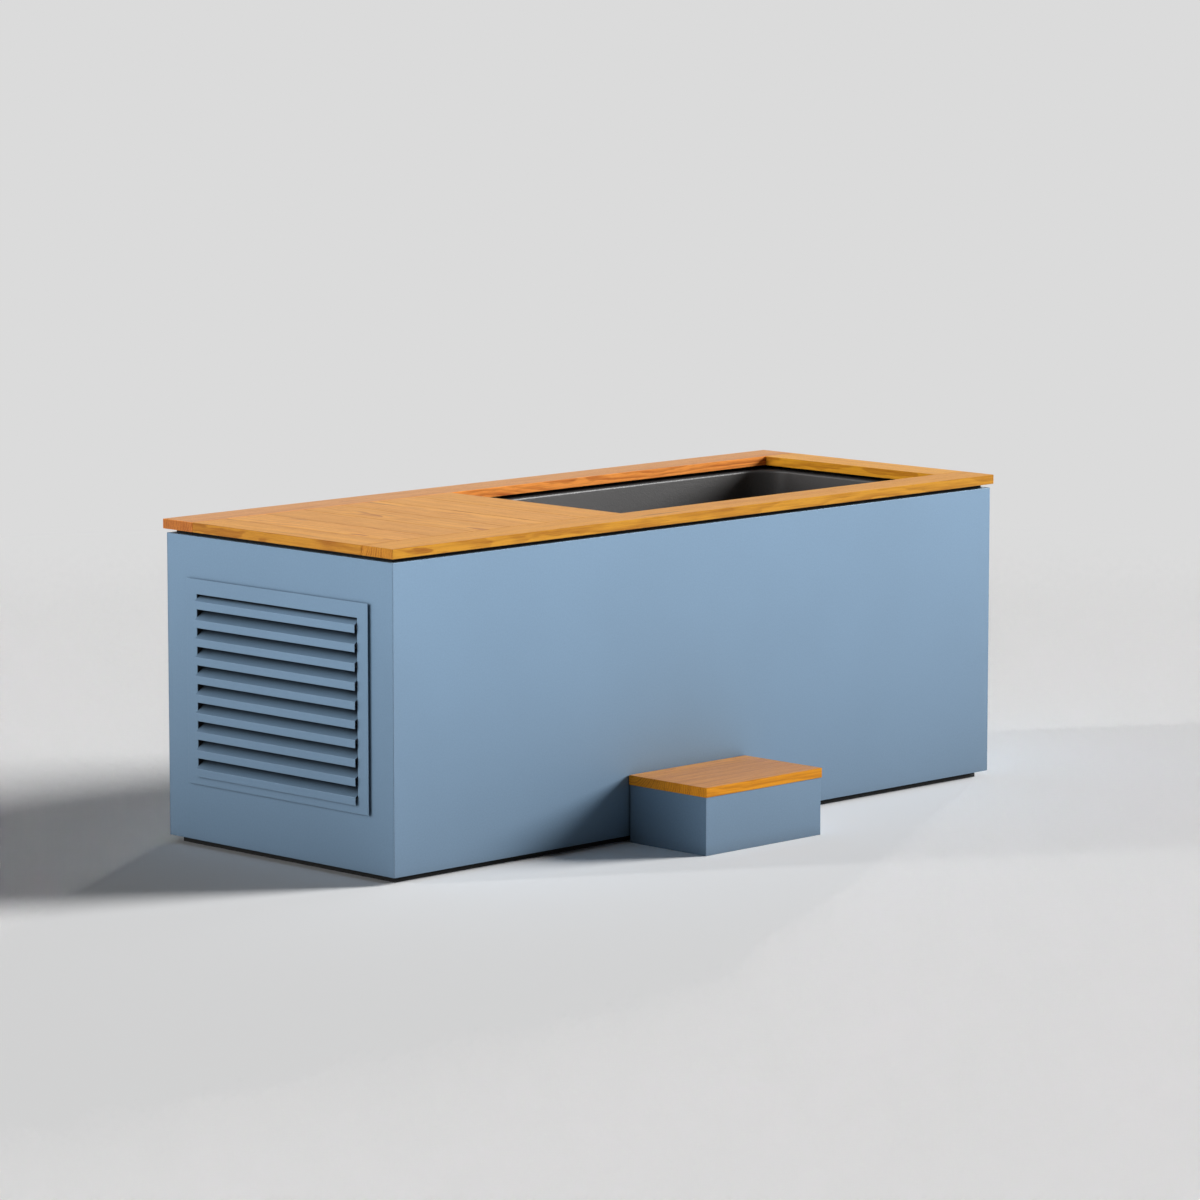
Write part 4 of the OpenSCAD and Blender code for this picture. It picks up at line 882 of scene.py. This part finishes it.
def pipe_unions():
    """Ribbed union nuts over the ends of the water pipes."""
    nut = [(20.2, 0), (24, 0), (27, 3), (27, 19), (24, 22), (20.2, 22)]
    pump_low, pump_high = corners_mm("pump_housing")
    bowl_high = corners_mm("filter_bowl")[1]
    shell_low, shell_high = corners_mm("heat_exchanger")
    tail, shell_x = corners_mm("return_nozzle")[0].x - 12, (shell_low.x + shell_high.x) / 2
    spots = [((tail, SUCTION_Y, SUCTION_HEIGHT), "x"), ((tail, RETURN_Y, RETURN_HEIGHT), "x"),
             ((pump_high.x - 9, SUCTION_Y, PUMP_HEIGHT), "x"),
             ((pump_low.x + PUMP_OUTLET, SUCTION_Y, pump_high.z - 9), "z"),
             ((bowl_high.x - 9, SUCTION_Y, BOWL_PIPE), "x"),
             ((bowl_high.x - PORT_REACH, bowl_high.y - 9, LOW_PIPE), "y"),
             ((shell_x, shell_low.y - 13, LOW_PIPE), "y"), ((shell_x, shell_low.y - 13, HIGH_PIPE), "y")]
    bm = bmesh.new()
    ridges, ridge_circle = 10, 26.6
    for spot, axis in spots:
        turned(bm, nut, spot, axis, 32)
        for index in range(ridges):
            turn = 2 * math.pi * index / ridges
            offset = Vector(TURNS[axis](ridge_circle * math.cos(turn), ridge_circle * math.sin(turn), 0))
            ends = [Vector(spot) + offset + Vector(TURNS[axis](0, 0, h)) for h in (3, 19)]
            swept(bm, ends, 1.6, 6)
    new_piece("pipe_unions", bm, "cabinet", "fitting_grey")


def controller():
    """Box with a lid seam, a dark window, corner screws, vent slots and two glands below."""
    low, high = corners_mm("control_box")
    bm = bmesh.new()
    eased_block(bm, (low.x + 18, low.y, low.z), high, 4, 3)
    eased_block(bm, (low.x + 1.5, low.y + 0.8, low.z + 0.8), (low.x + 17, high.y - 0.8, high.z - 0.8), 5, 3)
    screw = [(0, 0.4), (3.8, 0.4), (4.4, 1.2), (4.4, 3), (0, 3)]
    for y in (low.y + 12, high.y - 12):
        for z in (low.z + 12, high.z - 12):
            turned(bm, screw, (low.x, y, z), "x", 20)
    slots, slot_pitch = 6, 9
    for index in range(slots):
        z = low.z + 34 + index * slot_pitch
        eased_block(bm, (low.x + 0.6, low.y + 50, z), (low.x + 3, high.y - 50, z + 3), 0.6, 1)
    new_piece("controller_case", bm, "cabinet", "control_grey", ("control_box",))
    bm = bmesh.new()
    eased_block(bm, (low.x + 0.4, low.y + 38, high.z - 92), (low.x + 4, high.y - 38, high.z - 34), 1.2)
    gland = [(0, 2), (9, 2), (9, -6), (12, -6), (13, -8), (13, -14), (10, -18), (5, -20), (0, -20)]
    for y in (low.y + 50, high.y - 50):
        turned(bm, gland, (low.x + 36, y, low.z), "z", 24)
    for index in (1, 2):
        key_low, key_high = corners_mm(f"control_key_{index}")
        spot = ((key_low.x + key_high.x) / 2, (key_low.y + key_high.y) / 2, high.z)
        turned(bm, [(12.6, 0), (14.6, 0), (14.6, 1.4), (13.6, 2), (12.6, 2)], spot, "z", 32)
    new_piece("controller_window", bm, "cabinet", "gland_black")


# Stage: sizes in metres, and screen colours
FLOOR_REACH = 30
FLOOR_PAINT = (241, 241, 241)
BACKDROP_PAINT = (219, 219, 219)
FADE_FROM, FADE_TO = 3.6, 6.0
LAMPS_AWAY = 6

# Fill light, then each lamp: strength, softness, direction on the floor and elevation, angles in degrees.
# The timber is lit by twins of its own, which give it no glare.
AMBIENT = 0.05
KEY = (5.6, 22.0, (0.885, -0.466), 19.5)
BACK_LEFT = (0.95, 4.0, (-0.859, 0.512), 15.0)
BACK_RIGHT = (0.7, 5.0, (0.87, 0.49), 15.0)
LOUVRE_SIDE = (2.6, 46.0, (-0.93, 0.37), 20.0)
LAMPS = [
    ("key", *KEY, "all but timber"),
    ("key_timber", *KEY, "timber"),
    ("back_left", *BACK_LEFT, "floor"),
    ("back_right", *BACK_RIGHT, "all but timber"),
    ("back_right_timber", *BACK_RIGHT, "timber"),
    ("louvre_side", *LOUVRE_SIDE, "all but timber and floor"),
    ("louvre_side_timber", *LOUVRE_SIDE, "timber"),
]


def studio_floor():
    """A matt pale floor that turns into the backdrop's own tone further out."""
    bm = bmesh.new()
    bmesh.ops.create_grid(bm, x_segments=1, y_segments=1, size=FLOOR_REACH)
    mesh = bpy.data.meshes.new("studio_floor")
    bm.to_mesh(mesh)
    bm.free()
    floor = bpy.data.objects.new("studio_floor", mesh)
    bpy.context.scene.collection.objects.link(floor)
    material = bpy.data.materials.new("studio_floor")
    material.use_nodes = True
    tree = material.node_tree
    shader = tree.nodes["Principled BSDF"]
    shader.inputs["Base Color"].default_value = paint(*FLOOR_PAINT)
    shader.inputs["Roughness"].default_value = 1.0
    shader.inputs["Specular IOR Level"].default_value = 0.0
    place = add(tree, "NewGeometry").outputs["Position"]
    away = add(tree, "VectorMath", {"operation": "LENGTH"})
    feed(tree, away.inputs[0], place)
    beyond = remap(tree, away.outputs["Value"], FADE_FROM, FADE_TO)
    glow = add(tree, "Emission", Color=paint(*BACKDROP_PAINT))
    faded = mixed_shader(tree, beyond, shader, glow)
    tree.links.new(faded, tree.nodes["Material Output"].inputs["Surface"])
    mesh.materials.append(material)
    return floor


def studio_air():
    """A weak even fill, and the backdrop's tone for the camera, reflections and glass."""
    world = bpy.data.worlds.new("studio")
    bpy.context.scene.world = world
    world.use_nodes = True
    tree = world.node_tree
    light_path = add(tree, "LightPath").outputs
    seen = calc(tree, "MAXIMUM", light_path["Is Camera Ray"], light_path["Is Glossy Ray"])
    seen = calc(tree, "MAXIMUM", seen, light_path["Is Transmission Ray"])
    wall = add(tree, "Background", Color=paint(*BACKDROP_PAINT), Strength=1.0)
    fill = add(tree, "Background", Color=(1, 1, 1, 1), Strength=AMBIENT)
    tree.links.new(mixed_shader(tree, seen, fill, wall), tree.nodes["World Output"].inputs["Surface"])


def lamps(floor):
    """Sun lamps, each with a list of the pieces that it lights or passes over."""
    boards = [piece for piece in bpy.context.scene.objects if piece.name.startswith("board_")]
    receivers = {"floor": ("INCLUDE", [floor]), "timber": ("INCLUDE", boards),
                 "all but timber": ("EXCLUDE", boards),
                 "all but timber and floor": ("EXCLUDE", [floor] + boards)}
    for name, strength, softness, toward, height, receiver in LAMPS:
        data = bpy.data.lights.new(name, "SUN")
        data.energy = strength
        data.angle = math.radians(softness)
        lamp = bpy.data.objects.new(name, data)
        flat = Vector((toward[0], toward[1], 0)).normalized()
        way = flat * math.cos(math.radians(height)) + Vector((0, 0, math.sin(math.radians(height))))
        lamp.location = way * LAMPS_AWAY
        lamp.rotation_euler = (-way).to_track_quat("-Z", "Y").to_euler()
        bpy.context.scene.collection.objects.link(lamp)
        lamp.visible_glossy = receiver != "timber"
        state, listed = receivers[receiver]
        chosen = bpy.data.collections.new("named_by_" + name)
        for piece in listed:
            chosen.objects.link(piece)
        for entry in chosen.collection_objects:
            entry.light_linking.link_state = state
        lamp.light_linking.receiver_collection = chosen


photo_camera()
timber_top()
carried_over()
tub()
return_jet()
suction_cover()
compressor()
coil()
fan()
pump()
filter_housing()
exchanger()
pipe_unions()
controller()
floor = studio_floor()
studio_air()
lamps(floor)
bpy.context.scene.view_settings.view_transform = "Standard"
